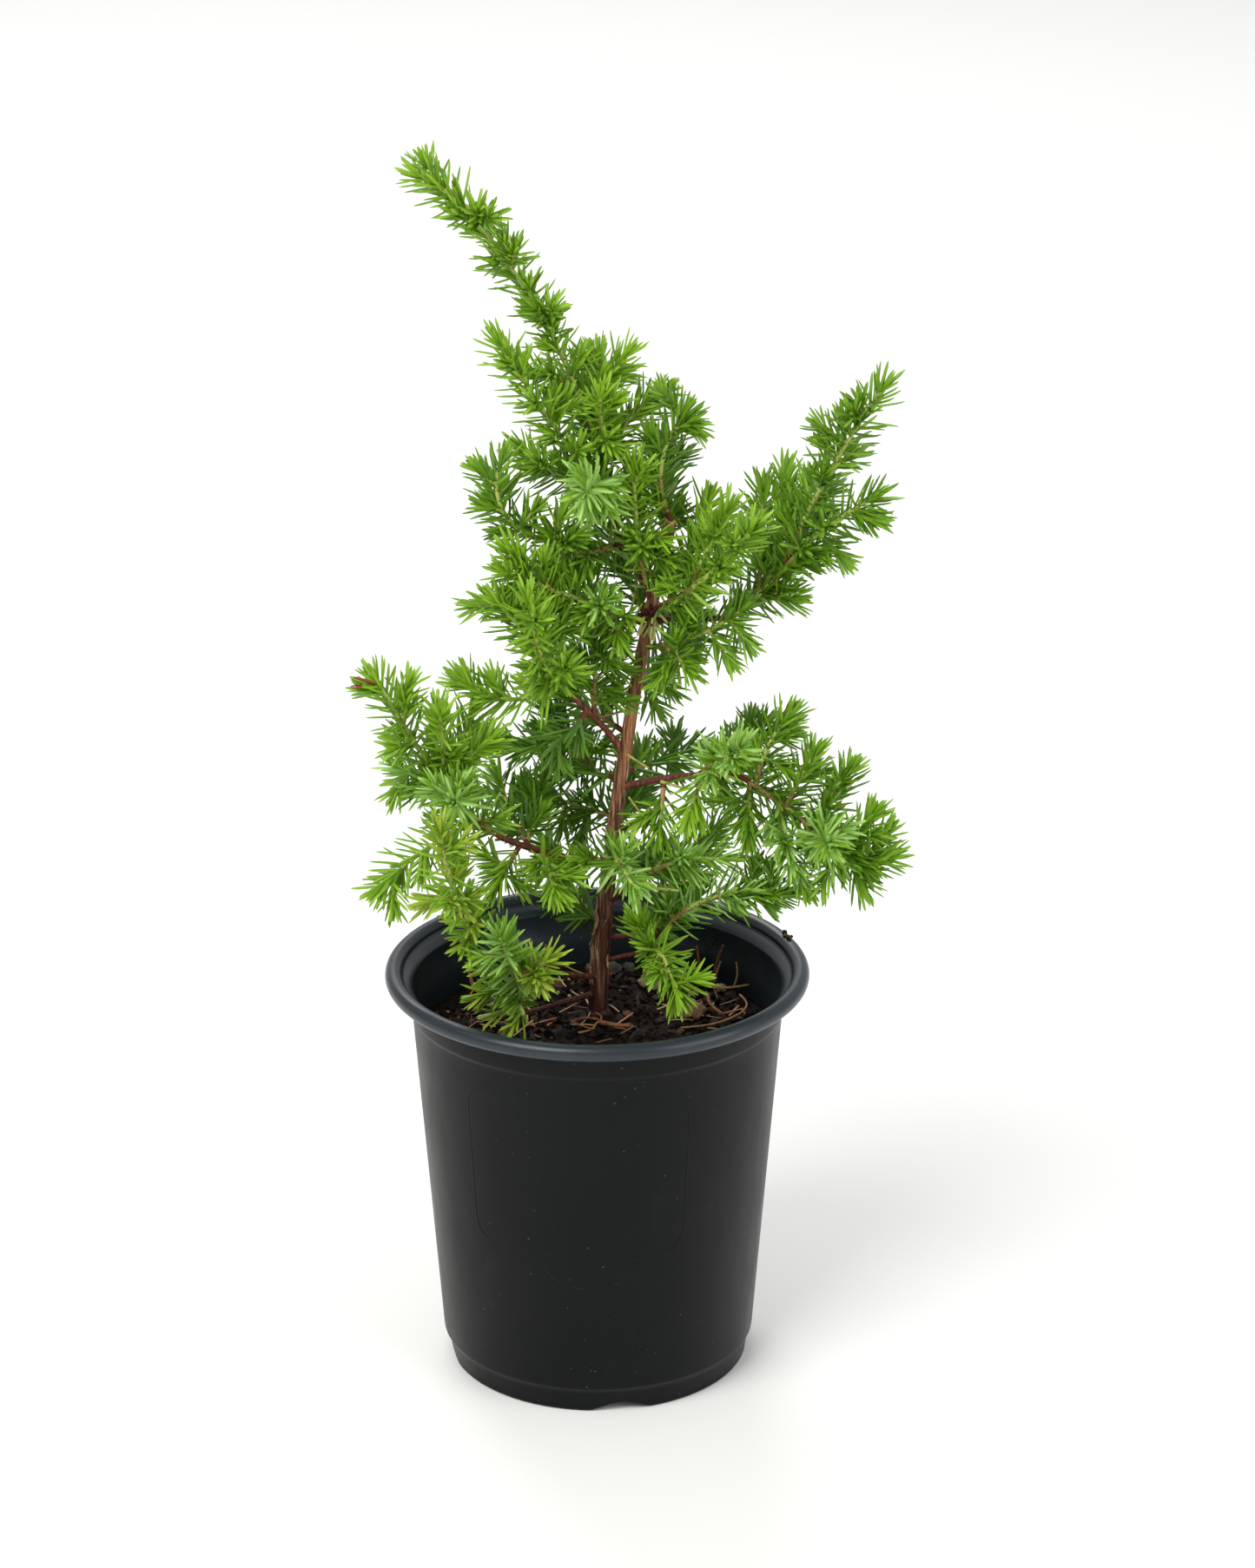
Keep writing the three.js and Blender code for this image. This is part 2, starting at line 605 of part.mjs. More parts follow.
function growSideTwigs(line, random) {
  const count = Math.floor(line.length / SIDE_SPACING);
  for (let i = 0; i < count; i++) {
    const share = (i + random(SIDE_EARLIEST, SIDE_LATEST)) / count;
    const aim = leaning(headingAlong(line.path, share), random(0, 360), SIDE_SPREAD);
    const length = SIDE_LENGTH * random(SHORTEST_SIDE, LONGEST_SIDE);
    const foot = pointAlong(line.path, share);
    const tip = foot.clone().addScaledVector(aim, length);
    if (twigHasRoom(line, foot, tip)) {
      lines.push({ massName: line.massName, path: [foot, tip], length, radius: SIDE_RADIUS });
    }
  }
}

// A twig is a three-sided prism that turns a sixth of a turn from each ring to the next. Each of
// its sides between two rings is drawn out to a point and makes a needle, three to a whorl.
function twigGeometry(line, random) {
  const corners = [];
  const faces = [];
  const whorls = Math.max(Math.round(line.length / WHORL_SPACING), 2);

  const addRing = (ring) => {
    const share = ring / whorls;
    const along = headingAlong(line.path, share);
    const radius = ring > 0 ? taper(line.radius, TWIG_TIP_SHARE)(share) : ROOT_RADIUS;
    for (let side = 0; side < TWIG_SIDES; side++) {
      const out = squareTo(along, WHORL_TURN * ring + SIDE_TURN * side);
      corners.push(pointAlong(line.path, share).addScaledVector(out, radius));
    }
    return corners.length - TWIG_SIDES;
  };
  const addPoint = (loop, tip) => {
    corners.push(tip);
    loop.forEach((corner, i) => faces.push(corner, loop[(i + 1) % loop.length], corners.length - 1));
  };

  let lower = addRing(0);
  faces.push(lower, lower + 2, lower + 1);
  for (let whorl = 0; whorl < whorls; whorl++) {
    const share = (whorl + 0.5) / whorls;
    const along = headingAlong(line.path, share);
    const upper = addRing(whorl + 1);
    for (let side = 0; side < TWIG_SIDES; side++) {
      const next = (side + 1) % TWIG_SIDES;
      const [a, b, c, d] = [lower + side, lower + next, upper + next, upper + side];
      const jitter = random(-TURN_JITTER, TURN_JITTER);
      const angle = WHORL_TURN * whorl + SIDE_TURN * side + NEEDLE_TURN + jitter;
      const evenLean = THREE.MathUtils.lerp(LEAN_AT_FOOT, LEAN_AT_TIP, share);
      const lean = evenLean + random(-LEAN_JITTER, LEAN_JITTER);
      const length = NEEDLE_LENGTH * random(SHORTEST_NEEDLE, LONGEST_NEEDLE);
      const foot = pointAlong(line.path, share);
      const tip = foot.clone().addScaledVector(leaning(along, angle, lean), length);
      if (whorl > 0 && needleHasRoom(line, foot, tip)) addPoint([a, b, c, d], tip);
      else faces.push(a, b, d, b, c, d);
    }
    lower = upper;
  }
  const ahead = headingAlong(line.path, 1);
  const end = line.path.at(-1).clone().addScaledVector(ahead, NEEDLE_LENGTH * END_SHARE);
  addPoint([lower, lower + 1, lower + 2], end);

  const geometry = new THREE.BufferGeometry().setFromPoints(corners);
  return geometry.setIndex(faces);
}

for (const [name, bough] of Object.entries(BOUGHS)) growBough(name, bough);
const lines = Object.entries(MASSES).flatMap(([name, mass]) => growLines(name, mass));
const random = seededNumbers(SEED);
for (const line of [...lines]) growSideTwigs(line, random);

addPot();
addSoil();
addWood();
for (const [name, mass] of Object.entries(MASSES)) {
  const own = lines.filter((line) => line.massName === name);
  addPiece(`needles_${name}`, fuse(own.map((line) => twigGeometry(line, random))), mass.shade);
}

export default plant;
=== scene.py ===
"""A young shore juniper in its nursery pot: the finish of every surface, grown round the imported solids.

Metres, +Z up, the origin at the middle of the pot's flat underside, -Y towards the viewer.
"""
import math

import bmesh
import bpy
import numpy as np
from mathutils import Matrix, Quaternion


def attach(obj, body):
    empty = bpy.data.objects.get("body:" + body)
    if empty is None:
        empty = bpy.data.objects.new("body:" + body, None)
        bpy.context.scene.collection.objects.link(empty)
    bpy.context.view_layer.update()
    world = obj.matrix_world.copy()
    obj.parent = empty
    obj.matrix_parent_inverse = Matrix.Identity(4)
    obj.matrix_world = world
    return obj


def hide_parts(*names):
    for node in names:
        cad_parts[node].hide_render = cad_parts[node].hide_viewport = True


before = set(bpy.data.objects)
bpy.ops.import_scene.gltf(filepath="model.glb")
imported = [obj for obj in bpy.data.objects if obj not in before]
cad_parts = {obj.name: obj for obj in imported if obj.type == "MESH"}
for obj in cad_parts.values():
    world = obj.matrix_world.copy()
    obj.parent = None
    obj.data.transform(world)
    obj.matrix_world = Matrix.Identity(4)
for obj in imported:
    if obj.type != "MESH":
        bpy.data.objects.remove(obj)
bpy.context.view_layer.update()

MM = 0.001

# The pot's profile, as in the solids.
POT_HEIGHT = 164.5 * MM
FOOT_RADIUS = 59 * MM
FOOT_HEIGHT = 11 * MM
WALL_FOOT_RADIUS = 61.6 * MM
WALL_TOP_RADIUS = 72.2 * MM
WALL_THICKNESS = 1.4 * MM
COLLAR_HEIGHT = 11 * MM
COLLAR_STEP = 0.9 * MM
LIP_OUTER_RADIUS = 82.5 * MM
LIP_THICKNESS = 6.6 * MM
FLOOR_THICKNESS = 4 * MM
NOTCH_COUNT = 4
NOTCH_HEIGHT = 3.2 * MM
NOTCH_HALF_ANGLE = 12.5
NOTCH_DEPTH = 9 * MM
NOTCH_BEARING = 279
POT_SEGMENTS = 240
COLLAR_FOOT = POT_HEIGHT - LIP_THICKNESS - COLLAR_HEIGHT

# The soil's surface and its bumps: their size in millimetres and their weight.
GAP = 0.3 * MM
SOIL_EDGE_HEIGHT = 136 * MM
SOIL_MIDDLE_HEIGHT = 139.7 * MM
SOIL_RINGS = 83
SOIL_BUMPS = ((16, 0.9), (6, 0.7), (2.5, 0.5), (1.2, 0.25))
BUMP_CELLS = 64
BUMP_HEIGHT = 1.3 * MM
GRID_CORNER = 0.08
# How far from the middle the loose pieces on the soil may start and end.
START_REACH = 66 * MM
END_REACH = 68 * MM

# The wood's taper, as in the solids.
TRUNK_FOOT = np.array((0, 12, 140.0)) * MM
TRUNK_TOP_RADIUS = 2.3 * MM
TRUNK_TAPER = 1.7 * MM
ROOT_FLARE = 1.4 * MM
FLARE_REACH = 0.04
BOUGH_TIP_SHARE = 0.65
LIMB_STEPS = 8

# The solids' stems and side twigs, whose places these finer ones keep.
ROOT_RADIUS = 0.9 * MM
SEED = 4711
SIDE_SPACING = 22 * MM
SIDE_LENGTH = 8 * MM
SIDE_SPREAD = 55
SIDE_RADIUS = 1.5 * MM
SIDE_ROOM = 5 * MM
SAMPLES = 8

# The finer needles and twigs. A brush is the bunch of needles at a shoot's tip.
NEEDLE_LENGTH = 14.0 * MM
NEEDLE_WIDTH = 1.45 * MM
NEEDLE_ROOM = 0.5 * MM
SPACING_AT_TIP = 1.3 * MM
SPACING_BELOW = 1.95 * MM
CROWDED_LENGTH = 16 * MM
TIP_NEEDLES = 9
SHORT_TIP_NEEDLES = 6
YOUNG_SIZE = 0.88
BRUSH_LEAN = (32, 4)
BRUSH_SIZE = (0.86, 0.62)
BRUSH_TURN = 1.146
SHORT_SHOOT_SIZE = 0.86
LOST_NEEDLES = 0.05
WHORL_TURN = 60
SIDE_TURN = 120
LEAN_AT_FOOT = 62
LEAN_AT_TIP = 36
TUFT_SPACING = 12 * MM
TUFT_LENGTH = 6.5 * MM
STEM_FOOT_RADIUS = 1.15 * MM
TWIG_FOOT_RADIUS = 1.0 * MM
TWIG_TIP_RADIUS = 0.65 * MM
TWIG_SIDES = 8

# How much single needles differ: in lean and turn (degrees), and in shares of size, width, roll and bend.
LEAN_SPREAD = 7
TURN_SPREAD = 16
SIZES = (0.84, 1.1)
WIDTHS = (0.8, 1.1)
ROLL_SPREAD = 0.3
BEND = 0.05


def limb(at, length, bearing, rise, lift=0, turn=0, tint=None, **more):
    """A limb's row: its start as a share of its carrier, its length in metres, its bearing and rise in
    degrees, and how much the rise (lift) and the bearing (turn) change along it.
    """
    return dict(at=at, length=length, bearing=bearing, rise=rise, lift=lift, turn=turn, tint=tint, **more)


def mass(on, shade, *stem, tint=None, spread=1, twigs=()):
    """A mass of needles: its carrier, its tone with painted light and shade, and its stem and named twigs as
    rows for limb().
    """
    return limb(*stem, tint=tint, on=on, shade=shade, spread=spread, twigs=[limb(*twig) for twig in twigs])


TRUNK = limb(0, 0.203, -3, 82, -10)

BOUGHS = {
    "leader": limb(0.84, 0.024, 168, 62, radius=0.0019),
    "right_upper": limb(0.8, 0.026, 0, 2, radius=0.0018),
    "left_middle": limb(0.53, 0.036, 208, 48, -13, radius=0.0016),
    "left_low": limb(0.3, 0.044, 200, 22, 13, radius=0.0018),
    "right_middle": limb(0.46, 0.045, 343, 11, -18, radius=0.0018),
    "right_low": limb(0.22, 0.016, 329, 41, radius=0.0014),
    "right_base": limb(0.15, 0.02, 335, 12, radius=0.0014),
    "left_base": limb(0.07, 0.06, 216, 30, 30, -20, radius=0.0015),
    "front_base": limb(0.035, 0.03, 216, 0, radius=0.0014),
    "right_floor": limb(0.1, 0.02, 323, 24, radius=0.0012),
}

# Each mass's tone. Yellow is the foliage's own colour. Bright, middle and dark are partly the foliage's own
# colour and partly painted light: bright is painted light on the masses at the front, and dark is painted
# shade on the masses at the back and inside.
MASSES = {
    "leader": mass(
        "leader", "bright", 1, 0.138, 182, 66, -30, 12, spread=1.7,
        twigs=(
            (0.14, 0.038, 259, 9, -15, 0, "blue"), (0.18687, 0.028, 25, 50, -20),
            (0.18687, 0.032, 270, 66, -10), (0.23084, 0.036, 95, 44), (0.11, 0.038, 203, 29, 31),
            (0.06, 0.079, 200, 57, 4, -15), (0.36, 0.023, 17, 47), (0.41771, 0.016, 185, 22),
            (1, 0.019, 188, 36, -12),
        ),
    ),
    "left_upper": mass("leader", "middle", 0.8, 0.035, 222, 14, 56, twigs=((1, 0.041, 180, 56, 111),)),
    "stub_right": mass("trunk", "middle", 1, 0.041, 10, 83, -64),
    "stub_back": mass("trunk", "dark", 0.93, 0.04, 88, 45),
    "front_upright": mass("trunk", "bright", 0.83, 0.051, 236, 79, 20),
    "front_right": mass(
        "trunk", "bright", 0.82, 0.064, 314, 40, 20,
        twigs=((0.12, 0.039, 50, 57), (0.3, 0.035, 345, 65)),
    ),
    "front_left": mass(
        "trunk", "bright", 0.79, 0.069, 217, 27, -2,
        twigs=((0.3, 0.024, 150, 45), (0.31, 0.013, 265, 22, 0, 0, "blue"), (0.7, 0.021, 203, 47)),
    ),
    "back_upper": mass("trunk", "dark", 0.8, 0.052, 118, 42, 20),
    "right_inner": mass("trunk", "middle", 0.745, 0.04, 340, 27, 28, twigs=((0.12, 0.018, 300, -12, -15),)),
    "right_upper": mass(
        "right_upper", "middle", 1, 0.026, 353, 41, 2,
        twigs=(
            (0.45, 0.014, 350, 2), (0.8, 0.047, 79, 43, 10), (0.9, 0.057, 327, 43, -19),
            (1, 0.085, 339, 63, -12), (0.9, 0.039, 55, 54), (0.6, 0.041, 85, 51),
        ),
    ),
    "left_middle_rise": mass(
        "left_middle", "bright", 1, 0.06, 254, 50, 42,
        twigs=(
            (0.05, 0.039, 172, -2, 76), (0.15, 0.02, 285, 30), (0.35, 0.03, 100, 52),
            (0.61, 0.023, 190, 51),
        ),
    ),
    "left_middle_low": mass("left_middle", "dark", 0.57, 0.037, 158, -29, 70),
    "left_inner": mass("left_middle", "dark", 0.44, 0.029, 249, 96),
    "back_inner": mass("trunk", "dark", 0.57, 0.034, 142, 18),
    "back_right_middle": mass("trunk", "dark", 0.49, 0.036, 45, 0),
    "back_right": mass("trunk", "dark", 0.66, 0.052, 60, 26, 20),
    "back_left": mass("trunk", "dark", 0.48, 0.044, 128, -2, 20, twigs=((0.3, 0.03, 165, 52),)),
    "back_middle": mass("trunk", "dark", 0.36, 0.052, 80, 14, 24, twigs=((0.25, 0.032, 165, 12),)),
    "back_right_low": mass("trunk", "dark", 0.3, 0.044, 35, 0, 20),
    "back_low": mass("trunk", "dark", 0.17, 0.046, 118, 22, 24),
    "left_low": mass(
        "left_low", "bright", 1, 0.038, 209, 47, 15,
        twigs=(
            (0.3, 0.008, 314, 23), (0.32, 0.045, 186, -34, -26), (0.6, 0.036, 268, 23, -10, 0, "blue"),
            (0.85, 0.038, 85, 113), (0.95, 0.026, 345, 45, -8), (1, 0.048, 203, 61),
            (0.8, 0.02, 180, 30, 0, 0, "blue"), (0.92, 0.031, 59, 48),
        ),
    ),
    "left_low_front": mass("left_low", "bright", 0.6, 0.026, 282, -10, -15),
    "left_low_back": mass("left_low", "dark", 0.7, 0.036, 112, 26, 20, twigs=((0.08, 0.027, 70, 44),)),
    "left_low_under": mass("left_low", "bright", 0.8, 0.015, 215, -52),
    "left_base": mass("left_base", "yellow", 1, 0.067, 248, 56, 40),
    "front_base": mass(
        "front_base", "yellow", 1, 0.056, 256, 52, -8, tint="blue",
        twigs=((0.4, 0.022, 313, 37, 0, 27),),
    ),
    "right_middle": mass(
        "right_middle", "middle", 1, 0.056, 336, -30, -8,
        twigs=(
            (0.06, 0.02, 269, -50, -20), (0.12, 0.029, 17, 66, -38), (0.3, 0.024, 287, -47, 0, 0, "blue"),
            (0.36, 0.021, 12, 62), (0.63, 0.024, 17, 61, -2), (0.5, 0.021, 315, -35, 0, 0, "blue"),
            (0.62, 0.034, 276, 12, 0, 0, "blue"), (0.85, 0.014, 320, -50), (0.85, 0.016, 0, 52),
            (1, 0.011, 350, 16), (1, 0.014, 10, 49),
        ),
    ),
    "right_front": mass(
        "right_middle", "bright", 0.62, 0.038, 297, 33, tint="blue",
        twigs=((0.1, 0.018, 240, -50),),
    ),
    "right_behind": mass("right_middle", "dark", 0.75, 0.04, 74, 2, 20, twigs=((0.4, 0.022, 20, 26),)),
    "right_low": mass("right_low", "middle", 1, 0.034, 338, 21, -42, 20, tint="blue"),
    "right_base": mass(
        "right_base", "dark", 1, 0.044, 340, 32, -46, tint="blue",
        twigs=((0.7, 0.022, 344, 7),),
    ),
    "right_base_back": mass("right_base", "dark", 0.7, 0.038, 62, 20, 20),
    "right_floor": mass("right_floor", "bright", 1, 0.038, 287, -6, -80, twigs=((0.08, 0.012, 227, 66),)),
    "middle_front": mass(
        "trunk", "bright", 0.31, 0.031, 285, 3, -47, 16, tint="blue",
        twigs=((0.1, 0.015, 204, 5),),
    ),
    "right_under": mass("right_middle", "bright", 0.32, 0.018, 262, -56),
}

# Loose pieces, in millimetres: how many there are, and where those that the photo shows lie.
FLAKE_COUNT = 34
SPUR_COUNT = 9
CRUMB_COUNT = 1500
CHIP_COUNT = 110
FIBRE_COUNT = 24
PEARL_COUNT = 26
# Fallen needles: the middle of a patch, their number and its spread.
NEEDLE_LITTER = (
    (0, 8, 16, 34),
    (46, 16, 26, 12),
    (-52, 28, 8, 7),
    (-26, 2, 12, 8),
    (0, -4, 8, 7),
)
# Straws, roots and thin dead twigs: both ends, the bow sideways, the radius and the look.
SOIL_STRAWS = (
    ((-50, 38, 139), (-52.5, 40, 148), 0, 0.8, 0),
    ((-16, 47, 139.6), (-4.6, 21.7, 139.8), 2, 0.35, 2),
    ((-4.6, 21.7, 139.8), (-7.4, -4, 139.6), -3, 0.35, 2),
    ((-7.3, -11.5, 140), (-0.6, -4, 140.6), 2, 0.5, 1),
    ((-0.6, -4, 140.6), (-2.4, 10.5, 139.8), 3, 0.45, 1),
    ((0.7, -1.4, 140.2), (12.6, -4.8, 140), 1, 1.1, 0),
    ((54, 36, 139), (55, 38, 149), 1, 0.5, 1),
    ((46.1, 33.1, 139.8), (60, 31.5, 142), 1, 0.6, 1),
    ((43.6, 26.9, 139.8), (49.4, 7.1, 139.8), 2, 0.8, 0),
    ((56.3, 26.9, 139.6), (55.2, 6.2, 140), -3, 0.5, 1),
    ((55.2, 6.2, 140), (32.5, -6.5, 140), -3, 0.5, 1),
    ((46, 40, 139.6), (49, 46, 146), 0, 0.5, 1),
    ((41, 52, 139.4), (39.5, 55, 149), 0, 0.6, 0),
    ((-18.7, 62.3, 139.4), (-21.4, 60.5, 147), 0, 0.7, 0),
    ((-14.1, 45.2, 145), (-4.4, 44, 141), 1, 0.35, 3),
)
CROWN_STRAWS = (
    ((17.6, -4, 198.5), (31.6, -8, 198), 0.5, 0.75, 3),
    ((-5.7, 9, 261.7), (10.9, 7, 265.9), 1, 0.4, 1),
    ((5.9, 5, 215.8), (13.6, 0, 223.8), 0.5, 0.4, 1),
    ((11.6, 4, 249.4), (20.2, 2, 244.4), 0.3, 0.5, 3),
    ((24.5, -2, 240.6), (33.4, -6, 239.3), 0.3, 0.7, 3),
    ((12.2, 4, 232), (21.9, -2, 220.7), 0.3, 0.5, 3),
)
# Fine shoots between the solids' twigs: each mass's tips.
FINE_SHOOTS = {
    "left_upper": ((-24, -10, 350), (-13, -10, 348), (-8, -9, 341)),
    "left_inner": ((7, 8, 293), (9, 4, 284), (4, -2, 290), (4, 5, 276), (9, 4, 272)),
    "back_right": ((22, 15, 266), (27, 18, 272)),
    "right_inner": ((49, 2, 290), (56, -1, 297), (24, -3, 283), (30, -4, 298)),
    "right_upper": ((91, -2, 331), (86, 1, 372), (85, -1, 380)),
    "right_base": ((67, -13, 206), (76, -13, 201), (60, -11, 208)),
    "right_middle": ((79, -25, 207), (86, -25, 208), (70, -8, 249), (49, -10, 236)),
    "back_left": ((2, 26, 245),),
    "stub_right": ((36, 11, 378), (26, 11, 389)),
    "front_upright": ((25, -2, 322), (26, -3, 330), (24, -4, 338)),
    "front_left": ((8, -6, 300),),
    "front_right": ((29, -5, 319), (34, -4, 325)),
    "front_base": ((-41, -28, 173), (-44, -21, 160), (-38, -13, 149), (-31, -14, 146)),
    "right_floor": ((37, -34, 172),),
    "back_inner": ((6, 19, 268),),
    "left_low_under": ((-29, -6, 200), (-42, -5, 211)),
    "back_middle": ((-6, 31, 207), (-14, 34, 210)),
    "right_behind": ((51, 4, 231),),
    "left_middle_rise": ((-44, -30, 320), (-10, -9, 303)),
    "left_base": ((-63, -47, 209),),
    "left_low": ((-76, -13, 241),),
    "leader": ((24, 22, 387),),
}
# The masses whose short shoots stand closer, and how much closer.
DENSE_MASSES = (
    "leader", "front_left", "left_upper", "left_inner",
    "front_upright", "stub_right", "stub_back", "back_upper",
)
DENSE_SHARE = 0.75
# Dead shoot tips: the mass, a place near the tip, bearing, rise, length and number of needles.
DEAD_TIPS = (
    ("left_low", (-83.1, -26, 287.6), 180, 5, 11, 5),
    ("leader", (-35.2, -10, 355.7), 150, 40, 8, 3),
    ("right_middle", (72.6, -2, 268.1), 30, 60, 9, 4),
    ("front_base", (-23.7, -45, 161.7), 200, -10, 8, 4),
)
# Stones: the middle, the width, depth and height, and the look.
STONES = (
    (22.3, 41.9, 12, 9, 8, 0),
    (36.8, 9.6, 11, 9, 8, 1),
    (49, 38, 5, 4, 4, 0),
    (5.6, 57.1, 8, 7, 6, 2),
    (12, 60, 6, 5, 5, 2),
    (-3, 60, 5, 5, 4, 2),
    (30, 20, 5, 4, 4, 1),
    (-40, 20, 5, 4, 3, 2),
)
# The bare stick's foot, middle and tip.
STICK = ((47, 42, 134), (47, 44.25, 144.5), (50, 46.5, 153))
RIM_CRUMB_COUNT = 12
RIM_CRUMB_BEARING = 20
SCALES_AT = 0.81
# The thin line round the front panel: bearings in degrees.
PANEL_BEARING = 263
PANEL_HALF_ANGLE = 37
PANEL_LOW = 70 * MM
PANEL_HIGH = 137 * MM
PANEL_CORNER = 10 * MM
# Scratches on the wall, each as bearings and heights.
SCRATCHES = (
    ((252, 67), (253, 63), (255, 60), (258, 58)),
    ((261, 57), (264, 56), (267, 57)),
    ((274, 58), (279, 59)),
    ((247, 64), (247.6, 64.4)),
)


# Numbers and directions


def seeded_numbers(seed):
    """The same numbers in the same order each time, from the seed alone."""
    state = seed

    def draw(low, high):
        nonlocal state
        state = (state * 48271) % 2147483647
        return low + (high - low) * (state / 2147483647)

    return draw


def lerp(start, end, share):
    return start + (end - start) * share


def unit(vectors):
    return vectors / np.linalg.norm(vectors, axis=-1, keepdims=True)


def heading(bearing, rise):
    across = np.radians(bearing)
    up = np.radians(rise)
    return np.stack((np.cos(up) * np.cos(across), np.cos(up) * np.sin(across), np.sin(up)), -1)


def square_to(along, angle):
    """The direction square to each heading, turned round it by an angle in degrees."""
    x, y, z = np.moveaxis(along, -1, 0)
    first = np.stack((1 - x * x / (1 + z), -x * y / (1 + z), -x), -1)
    second = np.stack((-x * y / (1 + z), 1 - y * y / (1 + z), -y), -1)
    turn = np.radians(angle)[..., None]
    return np.cos(turn) * first + np.sin(turn) * second


def leaning(along, angle, lean):
    tilt = np.radians(lean)[..., None]
    return np.cos(tilt) * along + np.sin(tilt) * square_to(along, angle)


def between_cells(grid, x, y):
    """Smoothly between the numbers of a grid that repeats itself."""
    left, low = np.floor(x).astype(int), np.floor(y).astype(int)
    fx, fy = x - left, y - low
    fx, fy = fx * fx * (3 - 2 * fx), fy * fy * (3 - 2 * fy)
    wide, tall = grid.shape
    left, right, low, high = left % wide, (left + 1) % wide, low % tall, (low + 1) % tall
    below = lerp(grid[left, low], grid[right, low], fx)
    above = lerp(grid[left, high], grid[right, high], fx)
    return lerp(below, above, fy)


def ripple(across, along, cells_across, cells_along, rng):
    """Smooth random numbers from 0 to 1 on a surface that closes on itself across (both run 0 to 1)."""
    grid = rng.random((cells_across, cells_along + 1))
    return between_cells(grid, across * cells_across, np.clip(along, 0, 1) * (cells_along - 1e-6))


# Limbs, by the solids' rule


def heading_at(limb, share):
    """A limb's heading: share runs from -0.5 at its foot to 0.5 at its tip."""
    return heading(limb["bearing"] + limb["turn"] * share, limb["rise"] + limb["lift"] * share)


def limb_path(foot, limb):
    path = [foot]
    for step in range(LIMB_STEPS):
        aim = heading_at(limb, (step + 0.5) / LIMB_STEPS - 0.5)
        path.append(path[-1] + aim * limb["length"] / LIMB_STEPS)
    return np.array(path)


def point_along(path, share):
    place = np.asarray(share) * (len(path) - 1)
    step = np.minimum(np.floor(place).astype(int), len(path) - 2)
    return lerp(path[step], path[step + 1], (place - step)[..., None])


def heading_along(path, share):
    step = np.minimum(np.floor(np.asarray(share) * (len(path) - 1)).astype(int), len(path) - 2)
    return unit(path[step + 1] - path[step])


def path_length(path):
    return np.linalg.norm(np.diff(path, axis=0), axis=1).sum()


def trunk_radius_at(share):
    return TRUNK_TOP_RADIUS + TRUNK_TAPER * (1 - share) ** 2 + ROOT_FLARE * np.exp(-share / FLARE_REACH)


def taper(radius):
    return lambda share: lerp(radius, radius * BOUGH_TIP_SHARE, share)


def foot_on(carrier, at, aim, radius):
    """Where a limb starts: clear of its carrier's side, or of the edge of its tip, by the solids' gap."""
    along = heading_along(carrier["path"], at)
    cosine = abs(along @ aim)
    sine = math.sqrt(1 - cosine * cosine)
    reach = carrier["radius_at"](at)
    clear = (reach + GAP + radius * cosine) / sine if at < 1 else GAP + reach * sine
    return point_along(carrier["path"], at) + aim * clear


def grow_limbs():
    """The trunk and boughs. root is the point on the carrier's middle line that a bough grows from."""
    limbs = {"trunk": dict(path=limb_path(TRUNK_FOOT, TRUNK), radius_at=trunk_radius_at)}
    for name, bough in BOUGHS.items():
        foot = foot_on(limbs["trunk"], bough["at"], heading_at(bough, -0.5), bough["radius"])
        root = point_along(limbs["trunk"]["path"], bough["at"])
        limbs[name] = dict(path=limb_path(foot, bough), radius_at=taper(bough["radius"]), root=root)
    return limbs


def shoot(mass, kind, path, length, tint, root=None, spread=1):
    """One line that carries needles. A stem also has a root, on its carrier's middle line."""
    return dict(mass=mass, kind=kind, path=path, length=length, tint=tint, root=root, spread=spread)


def grow_lines(name, mass):
    """A mass's stem and its named twigs, which start on the stem's middle line."""
    carrier = limbs[mass["on"]]
    root = point_along(carrier["path"], mass["at"])
    path = limb_path(foot_on(carrier, mass["at"], heading_at(mass, -0.5), ROOT_RADIUS), mass)
    own = [shoot(name, "stem", path, mass["length"], mass["tint"], root, mass["spread"])]
    for twig in mass["twigs"]:
        twig_path = limb_path(point_along(path, twig["at"]), twig)
        own.append(shoot(name, "twig", twig_path, twig["length"], twig["tint"]))
    return own


def distance_to_path(points, path):
    start, step = path[:-1], np.diff(path, axis=0)
    away = points[:, None, :] - start
    share = np.clip((away * step).sum(-1) / (step ** 2).sum(-1), 0, 1)
    return np.sqrt(((away - share[..., None] * step) ** 2).sum(-1)).min(1)


def clear_of_wood(points, half_width):
    clear = np.ones(len(points), bool)
    for name, limb in limbs.items():
        low, high = limb["path"][0][2], limb["path"][-1][2]
        share = np.clip((points[:, 2] - low) / (high - low), 0, 1)
        thickness = limb["radius_at"](share if name == "trunk" else np.zeros(len(points)))
        clear &= distance_to_path(points, limb["path"]) > thickness + half_width + GAP
    return clear


def wall_radius_at(height):
    return lerp(WALL_FOOT_RADIUS, WALL_TOP_RADIUS, (height - FOOT_HEIGHT) / (COLLAR_FOOT - FOOT_HEIGHT))


def inner_radius_at(height):
    return wall_radius_at(height) - WALL_THICKNESS


def soil_height_at(radius):
    share = np.minimum(radius / inner_radius_at(SOIL_EDGE_HEIGHT), 1)
    return lerp(SOIL_MIDDLE_HEIGHT, SOIL_EDGE_HEIGHT, share * share)


def clear_of_pot(points, half_width):
    radius = np.hypot(points[:, 0], points[:, 1])
    margin = half_width + GAP
    above = points[:, 2] > POT_HEIGHT + margin
    inside = radius < inner_radius_at(SOIL_EDGE_HEIGHT) - margin
    return above | (inside & (points[:, 2] > soil_height_at(radius) + margin))


def add_straight_shoot(mass, kind, foot, tip, tint):
    lines.append(shoot(mass, kind, np.array((foot, tip)), float(np.linalg.norm(tip - foot)), tint))


